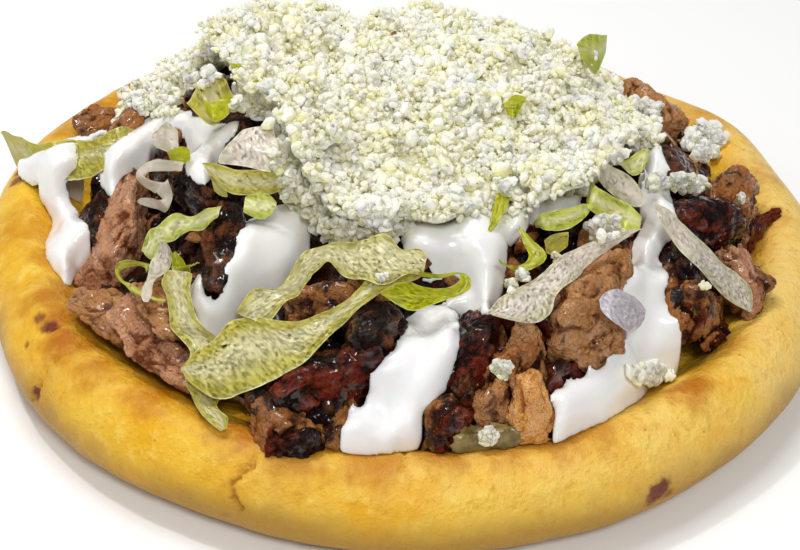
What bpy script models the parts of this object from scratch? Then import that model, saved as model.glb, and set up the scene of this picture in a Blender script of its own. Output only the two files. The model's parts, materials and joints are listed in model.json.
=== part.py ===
"""A sope: a thick fried masa base with a pinched rim, filled with a bean spread, chopped grilled
meat, lettuce, drizzled crema and a heap of crumbled white cheese.

Run with: blender --background --python part.py
Blender units are metres, +Z up, with the origin at the middle of the base's underside.
The tables below are in millimetres and degrees, seen from above, with +X to the right and the
front at -Y. Each piece is laid on what is already there, from the base upwards.
"""

import math
import random
from typing import NamedTuple

import bmesh
import bpy
import numpy as np
from mathutils import Matrix, Vector, noise
from mathutils.bvhtree import BVHTree

MM = 0.001
GAP = 0.32  # clearance kept between pieces that rest on each other

# Driving dimensions
BASE_RADIUS = 60.0
BASE_STEPS = 54
BASE_PROFILE = (  # radius, height; from the middle of the top over the rim to the underside
    (0.0, 7.0),
    (43.5, 7.0),
    (47.0, 8.4),
    (50.0, 11.8),
    (53.0, 13.0),
    (56.0, 12.3),
    (58.6, 10.0),
    (60.0, 6.6),
    (59.0, 3.0),
    (56.5, 0.7),
    (53.5, 0.0),
    (0.0, 0.0),
)
RIM_WARP_FROM, RIM_WARP_FULL = 30.0, 50.0
OUTLINE_BUMPS = (  # direction, spread, how far the outline swells or dips there
    (15.0, 8.0, -1.2),
    (30.0, 6.0, 1.4),
    (46.0, 14.0, -3.4),
    (146.0, 20.0, -1.0),
    (-154.0, 8.0, -1.0),
    (-46.0, 12.0, -0.5),
)
OUTLINE_WAVE, OUTLINE_WAVES = 0.15, 7
RIM_WAVE = 0.35  # rise and fall of the pinched rim

HEAP_RADII = (0.0, 12.0, 25.0, 35.0, 45.0, 50.0, 53.0, 57.0, 60.0, 70.0)
HEAP_HEIGHTS = (36.4, 36.0, 31.6, 25.5, 17.0, 12.5, 13.0, 10.5, 5.0, 0.0)
HEAP_SHIFT = -3.5  # the heap's top lies this far to the left of the base's middle
HEAP_SHIFT_TO = 46.0  # radius at which the shift has faded out
HEAP_LUMPS = (  # x, y, spread, height
    (-16.0, 10.0, 7.0, 4.0),
    (17.0, 8.0, 9.0, 4.0),
    (31.0, 9.0, 9.0, -3.6),
)

SPREAD_RADIUS = 45.5
SPREAD_CELLS = 12
SPREAD_FRONT = (-78.0, 12.0, 4.6)  # where it wells up to the rim: direction, spread, how far
SPREAD_TOP = 9.4
SPREAD_EDGE = 0.7
BED_RADIUS = 45.0
BED_CELLS = 11
# How deep the bed of chopped meat lies below the heap's surface, by the distance inside the cheese
BED_DEPTHS = ((-9.0, 4.4), (-3.0, 2.8), (1.0, 2.8), (6.0, 6.2))
BED_EDGE_DEPTH = 1.2
BED_EDGE_FROM_TO = (-4.0, 8.0)
BED_LUMP, BED_LUMP_STEP = 1.2, 0.28
BED_LEAST = 0.5
BED_REACH = 4.2  # it stays below the lowest point of a piece within this distance
LEAF_THICKNESS = 0.6
LEAF_SOFTENING = 3
LEAF_LAG = 1.3  # how much one edge's ruffles run behind the other's
CREMA_COLUMNS = 3
CREMA_EDGE = 0.45
CREMA_SINK = 0.2  # it bridges dips deeper than this below the heap's surface
CREMA_END = 0.55  # width of its ends, as a share
CREMA_SOFTENING = 14
CREMA_ROUNDING = 0.92
CHEESE_CELLS = 10
CHEESE_SINK = 2.9  # how far the cheese's core lies below the heap's surface
CHEESE_RELIEF, CHEESE_RELIEF_STEP = 1.3, 0.12
CHEESE_LEAST = 1.2
CHEESE_REACH = 4.2  # it stays over the highest point of a piece within this distance
CHEESE_SLOPE = 5.0  # it rises from its edge to full height over this distance
CLUMP_COUNT = 58
CLUMP_SIZES = (5.8, 8.6)  # of the clumps fused onto the heap
CLUMP_PROUD = 0.0  # how far a clump's middle lies over the core, as a share of its size
CLUMP_STRETCH = ((0.8, 1.25), (0.8, 1.25), (0.5, 0.75))
CLUMP_UNEVEN = 0.25
CLUMP_TILT = 0.5
CLUMP_WANDER = 0.5
CLUMP_INSET = 0.25  # a clump's distance from the edge, as a share of its size
CLUMP_CLEAR = 1.0
CLUMP_FLATTENED = 0.12
CLUMP_SPACING = 0.48  # 0.5 spreads them evenly, less crowds them towards the edge

# Colours: red, green, blue, linear; with a roughness
LOOKS = {
    "masa": ((0.62, 0.36, 0.085), 0.5),
    "spread": ((0.13, 0.085, 0.02), 0.4),
    "bed": ((0.035, 0.014, 0.008), 0.5),
    "charred": ((0.03, 0.012, 0.008), 0.4),
    "dark_red": ((0.12, 0.02, 0.012), 0.35),
    "brown": ((0.17, 0.075, 0.04), 0.45),
    "tan": ((0.33, 0.17, 0.08), 0.45),
    "pink": ((0.32, 0.155, 0.105), 0.45),
    "pale_leaf": ((0.62, 0.64, 0.40), 0.35),
    "yellow_leaf": ((0.60, 0.62, 0.12), 0.35),
    "green_leaf": ((0.36, 0.50, 0.10), 0.35),
    "crema": ((0.88, 0.88, 0.86), 0.25),
    "cheese": ((0.90, 0.90, 0.80), 0.7),
}


class Chunk(NamedTuple):
    """A piece of meat, lying along the heap's slope."""

    name: str
    x: float
    y: float
    length: float
    width: float
    thickness: float
    turn: float  # direction of its length
    lift: float  # height of its top over the heap's surface
    pitch: float  # rise of its far end out of the slope
    roll: float
    look: str


MEAT = (
    Chunk("meat_left_window", -44.6, -9.5, 9.5, 6.0, 4.5, -100, -2.2, 0, 8, "charred"),
    Chunk("meat_left_low", -38.0, -31.4, 12.5, 7.8, 5.0, -31, -0.2, 0, 4, "tan"),
    Chunk("meat_left_strip", -38.6, -18.4, 18.5, 7.2, 5.5, -97, 1.2, 0, -8, "pink"),
    Chunk("meat_front_left_slab", -30.2, -39.0, 15.0, 7.6, 4.8, -43, -0.4, 0, 6, "pink"),
    Chunk("meat_front_left_top", -29.0, -34.6, 8.0, 4.6, 3.6, -50, 2.0, 6, 0, "tan"),
    Chunk("meat_left_dark_strip", -28.0, -18.3, 13.0, 5.0, 4.4, -47, 0.2, 0, 10, "charred"),
    Chunk("meat_charred_finger", -22.0, -29.6, 11.5, 3.4, 4.6, -102, 2.8, 10, 0, "charred"),
    Chunk("meat_under_leaf", -10.0, -37.0, 8.5, 4.6, 4.0, 22, -1.4, 0, 0, "brown"),
    Chunk("meat_front_red_strip", -9.4, -44.2, 17.5, 4.6, 4.8, 16, 1.0, 2, -6, "dark_red"),
    Chunk("meat_front_low", -12.6, -47.9, 11.0, 5.6, 5.0, -4, 0.5, 0, -4, "brown"),
    Chunk("meat_front_black", -3.0, -40.8, 6.8, 5.2, 5.0, 40, 1.2, 6, 0, "charred"),
    Chunk("meat_front_dark", 8.4, -41.4, 10.5, 5.0, 5.0, -106, 0.3, 0, 4, "dark_red"),
    Chunk("meat_front_rib", 5.2, -47.2, 8.0, 6.0, 4.6, -44, 0.2, 0, 4, "brown"),
    Chunk("meat_front_tan", 10.9, -43.6, 6.8, 5.0, 4.2, -58, 1.0, 4, 0, "tan"),
    Chunk("meat_front_red_brown", 14.4, -39.8, 7.0, 3.4, 3.6, 8, 0.4, 0, 0, "dark_red"),
    Chunk("meat_front_orange", 16.4, -45.7, 7.0, 5.8, 5.6, -38, 1.0, 0, -6, "tan"),
    Chunk("meat_right_dark_pocket", 20.3, -40.0, 8.0, 4.0, 3.8, -22, -1.0, 0, 0, "dark_red"),
    Chunk("meat_right_slab", 22.5, -31.8, 15.5, 8.2, 5.4, -121, 0.9, 2, 6, "brown"),
    Chunk("meat_right_crumbled", 23.4, -37.8, 7.6, 4.8, 4.2, 22, 0.4, 0, 0, "tan"),
    Chunk("meat_right_dark", 36.4, -21.4, 9.5, 5.2, 4.6, -62, -0.2, 0, 0, "dark_red"),
    Chunk("meat_right_tan", 36.0, -27.6, 7.6, 5.2, 4.4, -48, 0.6, 4, 0, "tan"),
    Chunk("meat_right_outer", 45.2, -18.4, 9.4, 5.8, 4.8, -46, 0.6, 0, 0, "brown"),
    Chunk("meat_right_wet_strip", 40.0, -13.4, 15.5, 5.4, 5.0, 36, 1.2, 2, -8, "dark_red"),
    Chunk("meat_right_upright", 45.6, -0.6, 9.5, 5.4, 6.0, 68, 2.4, 8, 0, "brown"),
    Chunk("meat_right_upper", 36.6, -2.6, 8.6, 5.6, 4.6, 62, 0.4, 0, 0, "brown"),
    Chunk("meat_left_rim", -46.8, 15.4, 7.0, 5.0, 4.4, 62, 1.2, 0, 0, "dark_red"),
    Chunk("meat_left_upper", -40.6, 5.6, 11.0, 5.6, 4.6, 55, 0.2, 0, 0, "brown"),
    Chunk("meat_back_left", -36.0, 25.0, 10.0, 5.6, 4.6, 128, -0.8, 0, 0, "brown"),
    Chunk("meat_back", 4.0, 44.0, 13.0, 6.2, 5.0, 4, 0.6, 0, 6, "pink"),
    Chunk("meat_back_right", 38.0, 24.0, 12.0, 6.4, 5.0, 122, 0.6, 0, 0, "tan"),
)
CHUNK_ROUNDING = 0.42  # 0 is a block, 1 a ball
CHUNK_BALL = 1.22  # radius of that ball against the block's half width
CHUNK_TAPER = 0.16
CHUNK_SKEW = 0.25
CHUNK_BEND = 0.012
CHUNK_RELIEF, CHUNK_RELIEF_STEP = 0.88, 0.33
LARGE_CHUNK = 13.0  # a longer piece has more faces
MOST_LIFT = 0.9
LIFTED_SHARE = 70  # per cent of its underside that a piece is lifted clear of what it crosses
LEAST_THICKNESS = 0.55  # share of its thickness that a draped piece keeps
SLOPE_STEP = 0.5


class Leaf(NamedTuple):
    """A strip of lettuce. Its stations are x, y, height over the heap and half width."""

    name: str
    stations: tuple
    columns: int
    ruffle: float
    wave: float  # length of one ruffle
    look: str


UNDER_LEAVES = (
    Leaf("leaf_over_left_rim", (
        (-60.6, 13.0, 7.0, 0.9), (-57.6, 10.0, 5.0, 2.4), (-53.0, 6.4, 2.6, 4.0),
        (-48.0, 3.0, 1.6, 4.6), (-43.2, -0.4, 1.4, 4.6), (-38.8, -3.0, 1.0, 3.0),
    ), 3, 0.5, 9.0, "pale_leaf"),
    Leaf("leaf_right_blades", (
        (22.0, -21.6, 1.6, 1.0), (25.2, -22.6, 1.6, 1.6), (28.0, -22.8, 1.4, 1.6),
        (30.2, -22.4, 1.0, 1.0),
    ), 2, 0.3, 7.0, "green_leaf"),
    Leaf("leaf_right_bright", (
        (25.6, -13.2, 0.6, 0.9), (28.0, -14.2, 1.2, 1.6), (30.2, -13.2, 1.6, 1.5),
        (31.4, -10.2, 1.6, 0.9),
    ), 2, 0.3, 6.0, "green_leaf"),
)
OVER_LEAVES = (
    Leaf("leaf_left_cup", (
        (-28.2, 3.0, 2.0, 1.4), (-27.4, -2.0, 2.8, 3.4), (-26.6, -7.0, 3.2, 3.8),
        (-25.6, -12.6, 2.2, 2.2),
    ), 3, 0.5, 8.0, "yellow_leaf"),
    Leaf("leaf_centre_left_pale", (
        (-23.4, -13.6, 2.6, 2.0), (-20.6, -17.6, 3.2, 3.8), (-18.0, -21.4, 3.0, 3.8),
        (-16.6, -24.6, 2.4, 2.4),
    ), 3, 0.5, 8.0, "pale_leaf"),
    Leaf("leaf_centre_left_sheet", (
        (-26.6, -18.6, 1.8, 1.2), (-23.0, -21.2, 2.2, 2.8), (-19.0, -23.8, 2.0, 3.0),
        (-15.0, -25.8, 1.8, 1.6),
    ), 3, 0.5, 7.0, "pale_leaf"),
    Leaf("leaf_s_ribbon", (
        (-27.8, -16.8, 1.6, 0.8), (-31.6, -15.4, 1.6, 0.8), (-34.9, -13.6, 1.6, 0.8),
        (-34.4, -16.4, 1.6, 0.8), (-31.6, -19.0, 1.6, 0.9), (-29.8, -21.0, 1.6, 0.9),
        (-31.4, -22.2, 1.6, 0.8), (-34.4, -20.2, 1.6, 0.8),
    ), 1, 0.0, 6.0, "pale_leaf"),
    Leaf("leaf_front_arm", (
        (-27.2, -31.2, 0.8, 1.6), (-28.0, -33.6, 1.0, 2.1), (-27.2, -36.2, 1.4, 2.1),
        (-25.6, -39.4, 1.4, 2.0), (-24.2, -42.8, 1.4, 1.8), (-22.4, -46.4, 1.4, 1.8),
        (-20.2, -50.2, 1.6, 1.0),
    ), 2, 0.4, 7.0, "pale_leaf"),
    Leaf("leaf_left_light_green", (
        (-23.4, -26.2, 1.8, 0.9), (-26.4, -25.8, 2.0, 1.5), (-29.4, -25.6, 2.0, 2.1),
        (-31.8, -26.8, 1.8, 2.0), (-32.4, -28.8, 1.4, 1.0),
    ), 2, 0.45, 5.0, "green_leaf"),
    Leaf("leaf_left_curl", (
        (-31.2, -32.6, 1.4, 0.8), (-33.6, -31.0, 1.6, 0.9), (-35.4, -28.6, 1.8, 1.0),
        (-34.2, -26.4, 2.0, 0.9), (-32.2, -27.2, 1.8, 0.7),
    ), 1, 0.0, 5.0, "yellow_leaf"),
    Leaf("leaf_left_stick", (
        (-29.8, -27.0, 3.0, 0.8), (-30.6, -29.8, 3.0, 1.2), (-31.6, -33.0, 2.6, 0.9),
    ), 1, 0.0, 5.0, "pale_leaf"),
    Leaf("leaf_front_big", (
        (-26.0, -41.2, 1.6, 1.4), (-22.0, -41.8, 2.4, 2.8), (-17.0, -42.4, 2.8, 3.0),
        (-12.0, -42.0, 2.8, 2.3), (-7.0, -40.2, 2.8, 1.5), (-2.4, -38.2, 2.6, 0.9),
    ), 3, 0.45, 8.0, "pale_leaf"),
    Leaf("leaf_front_lens", (
        (-2.8, -38.4, 1.6, 0.8), (0.4, -39.0, 1.6, 1.6), (4.0, -38.6, 1.6, 1.8),
        (7.0, -37.2, 2.0, 1.4), (8.2, -36.0, 2.4, 0.8),
    ), 2, 0.3, 6.0, "yellow_leaf"),
    Leaf("leaf_front_ruffle", (
        (-18.0, -39.0, 1.8, 1.0), (-14.6, -37.7, 2.2, 1.6), (-11.4, -35.8, 2.8, 1.4),
        (-8.0, -34.9, 3.0, 1.6), (-4.0, -35.8, 3.2, 2.3), (0.0, -36.0, 3.4, 2.6),
        (3.2, -35.0, 3.0, 1.5),
    ), 2, 0.5, 6.0, "pale_leaf"),
    Leaf("leaf_right_green", (
        (15.4, -29.2, 1.2, 1.4), (18.2, -27.2, 1.4, 2.3), (20.8, -24.8, 1.4, 2.1),
        (23.2, -22.0, 1.2, 1.0),
    ), 2, 0.35, 6.0, "green_leaf"),
    Leaf("leaf_pale_strip", (
        (29.6, -24.0, 2.4, 0.8), (25.6, -27.8, 2.8, 1.7), (22.0, -31.2, 3.0, 2.0),
        (18.4, -34.4, 3.0, 2.3), (15.0, -37.4, 2.8, 2.5), (12.4, -39.6, 2.4, 1.6),
    ), 2, 0.25, 9.0, "pale_leaf"),
    Leaf("leaf_bright_hook", (
        (13.4, -29.8, 3.2, 0.8), (15.2, -31.2, 3.2, 1.1), (16.2, -33.0, 3.0, 1.1),
        (15.0, -34.6, 3.0, 1.1), (12.6, -35.0, 3.0, 0.9), (11.0, -34.0, 3.0, 0.6),
    ), 1, 0.0, 6.0, "yellow_leaf"),
    Leaf("leaf_right_strip", (
        (29.8, -19.8, 3.2, 1.2), (33.6, -20.4, 3.4, 1.6), (37.6, -21.6, 3.4, 1.8),
        (41.4, -22.9, 3.2, 1.7), (44.8, -24.2, 2.8, 0.8),
    ), 2, 0.25, 9.0, "pale_leaf"),
)
TOP_LEAVES = (
    Leaf("leaf_back_right", (
        (22.2, 9.0, 1.2, 1.2), (24.4, 13.0, 2.6, 2.4), (26.2, 17.0, 3.8, 2.4),
        (27.6, 21.0, 4.2, 1.2),
    ), 2, 0.4, 7.0, "pale_leaf"),
)


class Crema(NamedTuple):
    """A run of crema. Each lobe's stations are x, y, half width, thickness."""

    name: str
    lobes: tuple


CREMA = (
    Crema("crema_left_strand", (
        ((-54.6, 5.6, 1.2, 1.0), (-51.2, 3.6, 2.7, 2.4), (-49.2, -1.0, 2.9, 2.8),
         (-47.8, -7.0, 1.7, 1.9), (-45.6, -13.6, 2.7, 2.2), (-44.2, -18.8, 2.9, 2.2),
         (-43.4, -24.2, 1.0, 1.3)),
        ((-52.0, 5.0, 1.4, 1.4), (-47.6, 5.2, 1.5, 1.5), (-43.6, 2.2, 1.4, 1.5),
         (-41.0, -0.6, 0.9, 1.2)))),
    Crema("crema_left_band", (
        ((-28.0, -9.6, 2.2, 1.9), (-31.4, -8.4, 2.2, 2.0), (-34.6, -8.6, 2.1, 2.0),
         (-37.2, -9.6, 2.1, 2.1), (-38.9, -12.0, 1.5, 1.7), (-38.4, -16.2, 0.7, 1.0)),
        ((-27.2, -9.6, 2.4, 1.9), (-27.8, -13.6, 3.0, 2.0), (-27.0, -17.6, 2.5, 1.9),
         (-25.0, -22.4, 1.1, 1.3)))),
    Crema("crema_centre_left", (
        ((-10.6, -28.8, 2.0, 1.8), (-13.4, -30.8, 3.4, 2.2), (-16.2, -33.4, 3.6, 2.2),
         (-19.2, -36.4, 2.8, 2.1), (-21.8, -38.4, 1.5, 1.6)),
        ((-21.0, -37.9, 1.3, 1.6), (-23.8, -38.0, 1.3, 1.5), (-25.2, -35.6, 1.2, 1.5),
         (-25.2, -32.8, 0.9, 1.2)))),
    Crema("crema_front_drop", (
        ((3.7, -39.4, 2.5, 1.7), (3.0, -42.0, 3.5, 2.2), (2.0, -44.9, 4.0, 2.5),
         (0.0, -47.8, 4.2, 2.7), (-2.2, -50.4, 4.6, 2.8), (-3.2, -53.0, 2.8, 2.2)),)),
    Crema("crema_centre", (
        ((-1.6, -31.8, 1.6, 1.5), (2.4, -32.8, 2.6, 2.0), (6.4, -33.5, 3.2, 2.2),
         (9.2, -35.4, 2.8, 2.2), (10.0, -38.4, 2.3, 2.0), (9.8, -40.6, 1.4, 1.5)),
        ((6.4, -31.0, 1.8, 1.6), (9.6, -31.8, 2.2, 1.9), (12.4, -32.6, 1.5, 1.5)))),
    Crema("crema_right", (
        ((32.8, -6.4, 1.4, 1.5), (32.2, -11.0, 1.9, 2.0), (31.4, -15.0, 2.3, 2.3),
         (31.0, -18.4, 2.9, 2.5), (31.8, -21.6, 2.5, 2.2), (30.4, -25.2, 2.1, 2.0),
         (29.9, -28.6, 2.7, 2.1), (30.5, -32.0, 4.0, 2.3), (30.4, -35.4, 4.0, 2.3),
         (28.0, -39.2, 3.8, 2.3), (24.2, -42.8, 3.7, 2.3), (20.8, -45.6, 3.0, 2.2),
         (18.2, -47.8, 1.5, 1.6)),)),
)
ALONG_LEAF = 2.3  # length of one row of faces
ALONG_CREMA = 2.9

# Where the cheese ends, as direction and radius
CHEESE_OUTLINE = (
    (-180, 26), (-170, 25), (-158, 24), (-139, 22), (-130, 24), (-122, 27), (-117, 29),
    (-105, 31.5), (-92, 29.5), (-82, 29), (-74, 27), (-65, 27), (-56, 29), (-43, 31), (-32, 29),
    (-11, 31), (14, 36), (25, 36), (40, 40), (60, 43), (90, 45), (120, 46), (140, 47), (150, 46),
    (158, 40), (166, 31), (173, 27), (180, 26),
)
LOOSE_CLUMP_PLACE = (42.0, 8.0)
LOOSE_CLUMP_SIZE = (7.5, 6.0, 4.4)
LOOSE_CLUMP_SINK = 0.35
LOOSE_CLUMP_UNEVEN = 0.1
LOOSE_CLUMP_LEAST = 0.6

MAP_HALF = 66.0
MAP_STEP = 0.6
# A piece stays over the highest point of what it lies on within these distances
SPREAD_REACH, CHUNK_REACH, BED_FLOOR_REACH, LEAF_REACH, CREMA_REACH = 1.8, 1.3, 1.8, 1.2, 1.8
FLAT_ANGLE = 0.4
NOISE_SEED = 3
BED_LAYER, CHEESE_LAYER = 3.7, 8.1  # where in the noise each relief is read
CHEESE_SEED, LOOSE_CLUMP_SEED = 11, 5
GOLDEN_ANGLE = math.radians(137.508)

parts = bpy.data.collections.new("sope")
helpers = bpy.data.collections.new("helpers")


def clear_scene():
    for thing in list(bpy.data.objects):
        bpy.data.objects.remove(thing, do_unlink=True)
    bpy.context.scene.collection.children.link(parts)
    bpy.context.scene.collection.children.link(helpers)


def heap_height(x, y):
    """The surface that all the toppings together reach."""
    radius = np.hypot(x, y)
    shift = HEAP_SHIFT * (1 - smooth_step(radius, 20.0, HEAP_SHIFT_TO))
    height = np.interp(np.hypot(x - shift, y), HEAP_RADII, HEAP_HEIGHTS)
    for middle_x, middle_y, spread, lump in HEAP_LUMPS:
        height = height + lump * np.exp(-((x - middle_x) ** 2 + (y - middle_y) ** 2) / spread**2)
    return height


def cheese_edge(turn):
    return np.interp(turn, *zip(*CHEESE_OUTLINE))


def inside_cheese(x, y):
    """How far inside the cheese's outline a place lies."""
    return cheese_edge(np.degrees(np.arctan2(y, x))) - np.hypot(x, y)


def smooth_step(value, low, high):
    share = np.clip((value - low) / (high - low), 0.0, 1.0)
    return share * share * (3.0 - 2.0 * share)


def finish_material(name, look):
    colour, roughness = LOOKS[look]
    material = bpy.data.materials.new(name)
    material.use_nodes = True
    shader = material.node_tree.nodes["Principled BSDF"]
    shader.inputs["Base Color"].default_value = (*colour, 1.0)
    shader.inputs["Roughness"].default_value = roughness
    shader.inputs["Metallic"].default_value = 0.0
    material.diffuse_color = (*colour, 1.0)
    return material


def make_object(name, shape, look, matrix=None, collection=None):
    """Makes an object of a mesh in millimetres, placed by a matrix that is also in millimetres."""
    bmesh.ops.triangulate(shape, faces=shape.faces[:])
    bmesh.ops.recalc_face_normals(shape, faces=shape.faces[:])
    bmesh.ops.scale(shape, vec=(MM, MM, MM), verts=shape.verts)
    mesh = bpy.data.meshes.new(name)
    shape.to_mesh(mesh)
    shape.free()
    mesh.shade_smooth()
    thing = bpy.data.objects.new(name, mesh)
    if matrix is not None:
        place, turn, _ = matrix.decompose()
        thing.location = place * MM
        thing.rotation_euler = turn.to_euler()
    thing.data.materials.append(finish_material(name, look))
    (collection or parts).objects.link(thing)
    return thing


def world_shape(thing):
    """The evaluated mesh of an object, in world millimetres."""
    bpy.context.view_layer.update()
    graph = bpy.context.evaluated_depsgraph_get()
    shape = bmesh.new()
    shape.from_object(thing, graph)
    bmesh.ops.transform(shape, matrix=Matrix.Scale(1 / MM, 4) @ thing.matrix_world, verts=shape.verts)
    return shape


def reach(values, radius, pick):
    """Each cell's highest or lowest neighbour within a radius in millimetres."""
    cells = int(math.ceil(radius / MAP_STEP))
    padded = np.pad(values, cells, mode="edge")
    rows, columns = values.shape
    result = values.copy()
    for down in range(-cells, cells + 1):
        for across in range(-cells, cells + 1):
            if math.hypot(down, across) * MAP_STEP > radius + 0.01:
                continue
            part = padded[cells + down:cells + down + rows, cells + across:cells + across + columns]
            result = pick(result, part)
    return result


def soften(values, rounds):
    for _ in range(rounds):
        padded = np.pad(values, 1, mode="edge")
        beside = padded[:-2, 1:-1] + padded[2:, 1:-1] + padded[1:-1, :-2] + padded[1:-1, 2:]
        values = 0.5 * values + 0.125 * beside
    return values


def read_map(values, x, y):
    """The map's value at a place, between its cells."""
    column = np.clip((np.asarray(x, float) + MAP_HALF) / MAP_STEP, 0, values.shape[1] - 1.001)
    row = np.clip((np.asarray(y, float) + MAP_HALF) / MAP_STEP, 0, values.shape[0] - 1.001)
    left, low = column.astype(int), row.astype(int)
    across, up = column - left, row - low
    near = values[low, left] * (1 - across) + values[low, left + 1] * across
    far = values[low + 1, left] * (1 - across) + values[low + 1, left + 1] * across
    return near * (1 - up) + far * up


def nearest_of(values, x, y):
    """The map's value in the cell at a place."""
    rows = np.clip(((y + MAP_HALF) / MAP_STEP).round().astype(int), 0, len(values) - 1)
    columns = np.clip(((x + MAP_HALF) / MAP_STEP).round().astype(int), 0, len(values) - 1)
    return values[rows, columns]


def noise_at(x, y, step, layer):
    return np.array([noise.noise(Vector((a * step, b * step, layer))) for a, b in zip(x, y)])


class LaidMap:
    """The highest point of what is laid so far, on a square grid seen from above."""

    def __init__(self):
        count = int(2 * MAP_HALF / MAP_STEP) + 1
        self.top = np.zeros((count, count))

    def heights_of(self, thing):
        """Where the object lies: the grid's rows and columns, and its lowest and highest points."""
        shape = world_shape(thing)
        tree = BVHTree.FromBMesh(shape)
        xs = [vertex.co.x for vertex in shape.verts]
        ys = [vertex.co.y for vertex in shape.verts]
        shape.free()
        columns = range(int((min(xs) + MAP_HALF) / MAP_STEP), int((max(xs) + MAP_HALF) / MAP_STEP) + 2)
        rows = range(int((min(ys) + MAP_HALF) / MAP_STEP), int((max(ys) + MAP_HALF) / MAP_STEP) + 2)
        low = np.full(self.top.shape, np.inf)
        high = np.full(self.top.shape, -np.inf)
        for row in rows:
            for column in columns:
                if not (0 <= row < len(self.top) and 0 <= column < len(self.top)):
                    continue
                x, y = column * MAP_STEP - MAP_HALF, row * MAP_STEP - MAP_HALF
                above = tree.ray_cast(Vector((x, y, 90)), Vector((0, 0, -1)))[0]
                if above is None:
                    continue
                high[row, column] = above.z
                below = tree.ray_cast(Vector((x, y, -10)), Vector((0, 0, 1)))[0]
                low[row, column] = below.z
        return low, high

    def lay(self, thing):
        _, high = self.heights_of(thing)
        self.top = np.maximum(self.top, high)


def make_base():
    """The masa base: a turned profile, its outline and rim then made a little uneven by hand."""
    shape = bmesh.new()
    points = [shape.verts.new((radius, 0, height)) for radius, height in BASE_PROFILE]
    for first, second in zip(points, points[1:]):
        shape.edges.new((first, second))
    profile = bpy.data.meshes.new("base_profile")
    shape.to_mesh(profile)
    shape.free()
    turned = bpy.data.objects.new("base_profile", profile)
    helpers.objects.link(turned)
    screw = turned.modifiers.new("turn", "SCREW")
    screw.steps = screw.render_steps = BASE_STEPS
    screw.use_merge_vertices = True
    screw.merge_threshold = 0.0001
    shape = world_shape(turned)
    bmesh.ops.scale(shape, vec=(MM, MM, MM), verts=shape.verts)
    bpy.data.objects.remove(turned, do_unlink=True)
    bmesh.ops.remove_doubles(shape, verts=shape.verts, dist=0.0001)
    for vertex in shape.verts:
        radius = math.hypot(vertex.co.x, vertex.co.y)
        if radius < RIM_WARP_FROM:
            continue
        turn = math.atan2(vertex.co.y, vertex.co.x)
        weight = smooth_step(radius, RIM_WARP_FROM, RIM_WARP_FULL)
        change = OUTLINE_WAVE * math.sin(OUTLINE_WAVES * turn)
        for middle, spread, height in OUTLINE_BUMPS:
            away = (math.degrees(turn) - middle + 180) % 360 - 180
            change += height * math.exp(-((away / spread) ** 2))
        factor = 1 + weight * change / BASE_RADIUS
        vertex.co.x *= factor
        vertex.co.y *= factor
        wave = math.sin(2 * turn + 1.0) + 0.6 * math.sin(5 * turn)
        vertex.co.z += RIM_WAVE * wave * smooth_step(vertex.co.z, 3.0, 12.0)
    return make_object("masa_base", shape, "masa")


def disc_sheet(cells, outline):
    """A square grid drawn out to a round outline, flat, as one open sheet."""
    shape = bmesh.new()
    bmesh.ops.create_grid(shape, x_segments=cells, y_segments=cells, size=1.0)
    for vertex in shape.verts:
        u, v = vertex.co.x, vertex.co.y
        x = u * math.sqrt(1 - v * v / 2)
        y = v * math.sqrt(1 - u * u / 2)
        edge = outline(math.degrees(math.atan2(y, x)))
        vertex.co = Vector((x * edge, y * edge, 0))
    return shape


def dissolve_flats(shape):
    """Makes one face of faces that lie in one plane, as on the floor of a layer."""
    bmesh.ops.dissolve_limit(
        shape, angle_limit=math.radians(FLAT_ANGLE), verts=shape.verts[:], edges=shape.edges[:]
    )
    return shape


def thicken_between(shape, bottom, top):
    """Makes an open flat sheet a solid between two surfaces given as functions of x and y."""
    low = list(shape.verts)
    made = bmesh.ops.extrude_face_region(shape, geom=shape.faces[:], use_keep_orig=True)
    high = [item for item in made["geom"] if isinstance(item, bmesh.types.BMVert)]
    for vertices, surface in ((low, bottom), (high, top)):
        heights = surface(
            np.array([vertex.co.x for vertex in vertices]), np.array([vertex.co.y for vertex in vertices])
        )
        for vertex, height in zip(vertices, heights):
            vertex.co.z = height
    return shape


def make_spread(laid):
    """The bean spread: a thin layer over the base's floor, drawn up against the rim."""
    under = reach(laid.top, SPREAD_REACH, np.maximum)
    middle, spread, more = SPREAD_FRONT

    def outline(turn):
        return SPREAD_RADIUS + more * math.exp(-(((turn - middle) / spread) ** 2))

    shape = disc_sheet(SPREAD_CELLS, outline)

    def bottom(x, y):
        return read_map(under, x, y) + GAP

    def top(x, y):
        return np.maximum(SPREAD_TOP, bottom(x, y) + SPREAD_EDGE)

    return make_object("bean_spread", dissolve_flats(thicken_between(shape, bottom, top)), "spread")


def chunk_shape(chunk):
    """One piece of meat about its own middle: a rounded block with a coarse relief and a taper."""
    draw = random.Random(chunk.name)
    shape = bmesh.new()
    bmesh.ops.create_cube(shape, size=2.0)
    cuts = 3 if chunk.length > LARGE_CHUNK else 2
    bmesh.ops.subdivide_edges(shape, edges=shape.edges[:], cuts=cuts, use_grid_fill=True)
    taper = draw.uniform(-CHUNK_TAPER, CHUNK_TAPER)
    skew = draw.uniform(-CHUNK_SKEW, CHUNK_SKEW)
    place = Vector((draw.uniform(0, 50), draw.uniform(0, 50), draw.uniform(0, 50)))
    half = Vector((chunk.length, chunk.width, chunk.thickness)) / 2
    for vertex in shape.verts:
        box = vertex.co.copy()
        ball = box.normalized() * CHUNK_BALL
        point = box.lerp(ball, CHUNK_ROUNDING)
        width = 1 + taper * point.x
        point = Vector((
            point.x * half.x,
            (point.y + skew * point.x * point.x) * half.y * width,
            point.z * half.z,
        ))
        point.z -= CHUNK_BEND * point.x * point.x
        vertex.co = point + noise.noise_vector(point * CHUNK_RELIEF_STEP + place) * CHUNK_RELIEF
    return shape


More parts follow.
